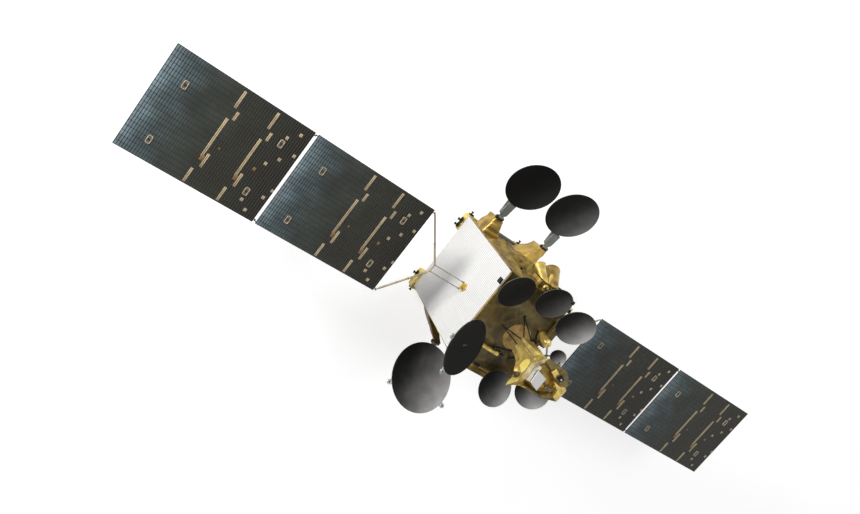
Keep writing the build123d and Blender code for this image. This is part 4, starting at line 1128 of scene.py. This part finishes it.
addPiece("thruster_set", shapes, "blackMetal", replaces=("thrusters",))

boltCircle = {"count": 36, "radius": 0.604, "height": 0.218}
boltHead = [(0, 0.012), (0.008, 0.012), (0.008, 0.0), (0, 0.0)]
bolts = []
for step in range(boltCircle["count"]):
    angle = step * 2 * np.pi / boltCircle["count"]
    at = vec(boltCircle["radius"] * math.cos(angle), boltCircle["radius"] * math.sin(angle),
             boltCircle["height"])
    bolts.append(revolve(boltHead, at, (0, 0, 1), 6))
addPiece("ring_bolts", bolts, "silverMetal")
print("stage: thrusters and ring")


# array drives, yokes and strut fittings

yoke = {"root": (0.088, 1.864), "tip": (1.06, 2.644), "sleeve": 0.0225}  # x and y of each arm's ends
for side, sign in (("north", 1), ("south", -1)):
    z = wing["height"]
    collar = [(0.080, 0.0), (0.105, 0.0), (0.100, 0.012), (0.092, 0.030), (0.080, 0.034), (0.080, 0.0)]
    addPiece(f"drive_collar_{side}", [revolve(collar, (0, sign * 0.913, z), (0, sign, 0), 48)],
             "brightFilm")
    cross = []
    for end in (-1, 1):
        for reach in (1.03, yoke["root"][1]):
            cross.append(bevelBox((end * yoke["root"][0], sign * reach, z), (0.034, 0.05, 0.034), 0.005))
    addPiece(f"yoke_cross_{side}", cross, "yokeWrap", f"yoke_{side}_body")
    runs, sleeves = [], []
    for end in (-1, 1):
        a, b = (vec(end * px, sign * py, z) for px, py in (yoke["root"], yoke["tip"]))
        line = np.linspace(a, b, 30)[1:-1]
        runs.append(tube(line + vec(0, 0, 0.019), 0.004, 6))
        sleeves.append(tube(np.linspace(a, b, 40)[2:-2], yoke["sleeve"], 12))
        for share in (0.2, 0.62, 0.85):
            spot = a + share * (b - a)
            along = unit(b - a)
            axes = np.stack([along, np.cross((0, 0, 1), along), vec(0, 0, 1)])
            runs.append(bevelBox(spot, (0.02, 0.036, 0.05), 0.004, axes))
    addPiece(f"yoke_sleeves_{side}", sleeves, "yokeWrap", f"yoke_{side}_body")
    addPiece(f"yoke_wires_{side}", runs, "yokeWrap", f"yoke_{side}_body")
print("stage: drives and yokes")


# joints of the deployed reflectors, their arm plates, and small fittings

hinges = {  # place and the side of the bus
    "east_north": (1.59, 0.66, 1.0, 1), "east_south": (1.59, -0.82, 1.0, 1),
    "west": (-1.59, 0.37, 1.74, -1),
}
armPlate = {"start": 0.145, "end": 0.43, "half": 0.10, "thick": 0.052, "middle": 0.25}  # from the hinge
motorDrum = [(0, 0), (0.040, 0), (0.044, 0.006), (0.044, 0.028), (0.036, 0.036), (0, 0.036)]
for name, (hx, hy, hz, way) in hinges.items():
    motor = [bevelBox((hx - way * 0.055, hy, hz), (0.085, 0.150, 0.115), 0.014)]
    for end in (-1, 1):
        seatPoint = (hx - way * 0.02, hy + end * 0.075, hz)
        motor.append(revolve(motorDrum, seatPoint, (0, end, 0), 28))
    addPiece(f"motor_{name}", motor, "blackMetal")
    if way > 0:
        # a flat plate with a round end at the joint, set along the arm towards the dish
        along, up = unit((0.98, 0, 0.20)), unit((-0.20, 0, 0.98))
        turn = np.linspace(np.pi / 2, 1.5 * np.pi, 20)
        start, end, half, thick, middle = armPlate.values()
        flat = np.vstack([np.column_stack([start + half * np.cos(turn), half * np.sin(turn)]),
                          [(end, -half), (end, half)]])
        seat = np.array((hx, hy + (0.005 if hy > 0 else 0), hz))
        layers = [seat + k * (flat[:, :1] * along + flat[:, 1:] * vec(0, 1, 0)) + z * thick / 2 * up
                  + (1 - k) * middle * along for k, z in ((0, -1), (1, -1), (1, 1), (0, 1))]
        addPiece(f"plate_{name}", [asShape(np.stack(layers), closeCols=True)], "greyArm",
                 f"reflector_{name}_body")
pin, knee = vec(-0.600, -0.215, 3.255), vec(-0.560, 0.560, 3.300)
sleeve = [pin + k * (knee - pin) for k in np.linspace(0.18, 0.97, 20)]
addPiece("boom_sleeve", [tube(sleeve, 0.048, 16)], "brightFilm", "dish_north_west_body")

lugRing = [(0.022, -0.016), (0.056, -0.016), (0.060, -0.012), (0.060, 0.012), (0.056, 0.016),
           (0.022, 0.016), (0.022, -0.016)]
lugPlug = [(0, -0.012), (0.022, -0.012), (0.022, 0.012), (0, 0.012)]
lugs = {  # ring lugs on the rims of the two largest dishes: body, normal, hole centres
    "west": ("reflector_west_body", tiltWest,
             [(-2.613, -0.418, 2.433), (-2.658, 1.130, 2.463)]),
    "north_west": ("dish_north_west_body", (0.22, -0.47, 0.85),
                   [(-1.250, 1.298, 4.035), (-0.486, 1.642, 4.027)]),
}
for name, (body, normal, holes) in lugs.items():
    for kind, profile, count, finish in (("lugs", lugRing, 32, "silverMetal"),
                                         ("plugs", lugPlug, 24, "blackMetal")):
        addPiece(f"{kind}_{name}", [revolve(profile, hole, normal, count) for hole in holes], finish, body)
fittings = {  # small blocks: centre, size, bevel, finish, body, slot
    "clip_east": ((1.305, -0.575, 3.49), (0.075, 0.075, 0.065), 0.008, "blackMetal", "dish_east_body",
                  "black_metal"),
    "clip_small": ((0.075, -1.165, 3.745), (0.085, 0.085, 0.06), 0.008, "blackMetal", "bus",
                   "black_metal"),
    "corner_block": ((1.075, -0.855, 3.175), (0.12, 0.11, 0.12), 0.012, "brightFilm", "bus", "gold_film"),
}
for name, (*block, finish, body, slot) in fittings.items():
    addPiece(name, [bevelBox(*block)], finish, body)
print("stage: reflector joints")
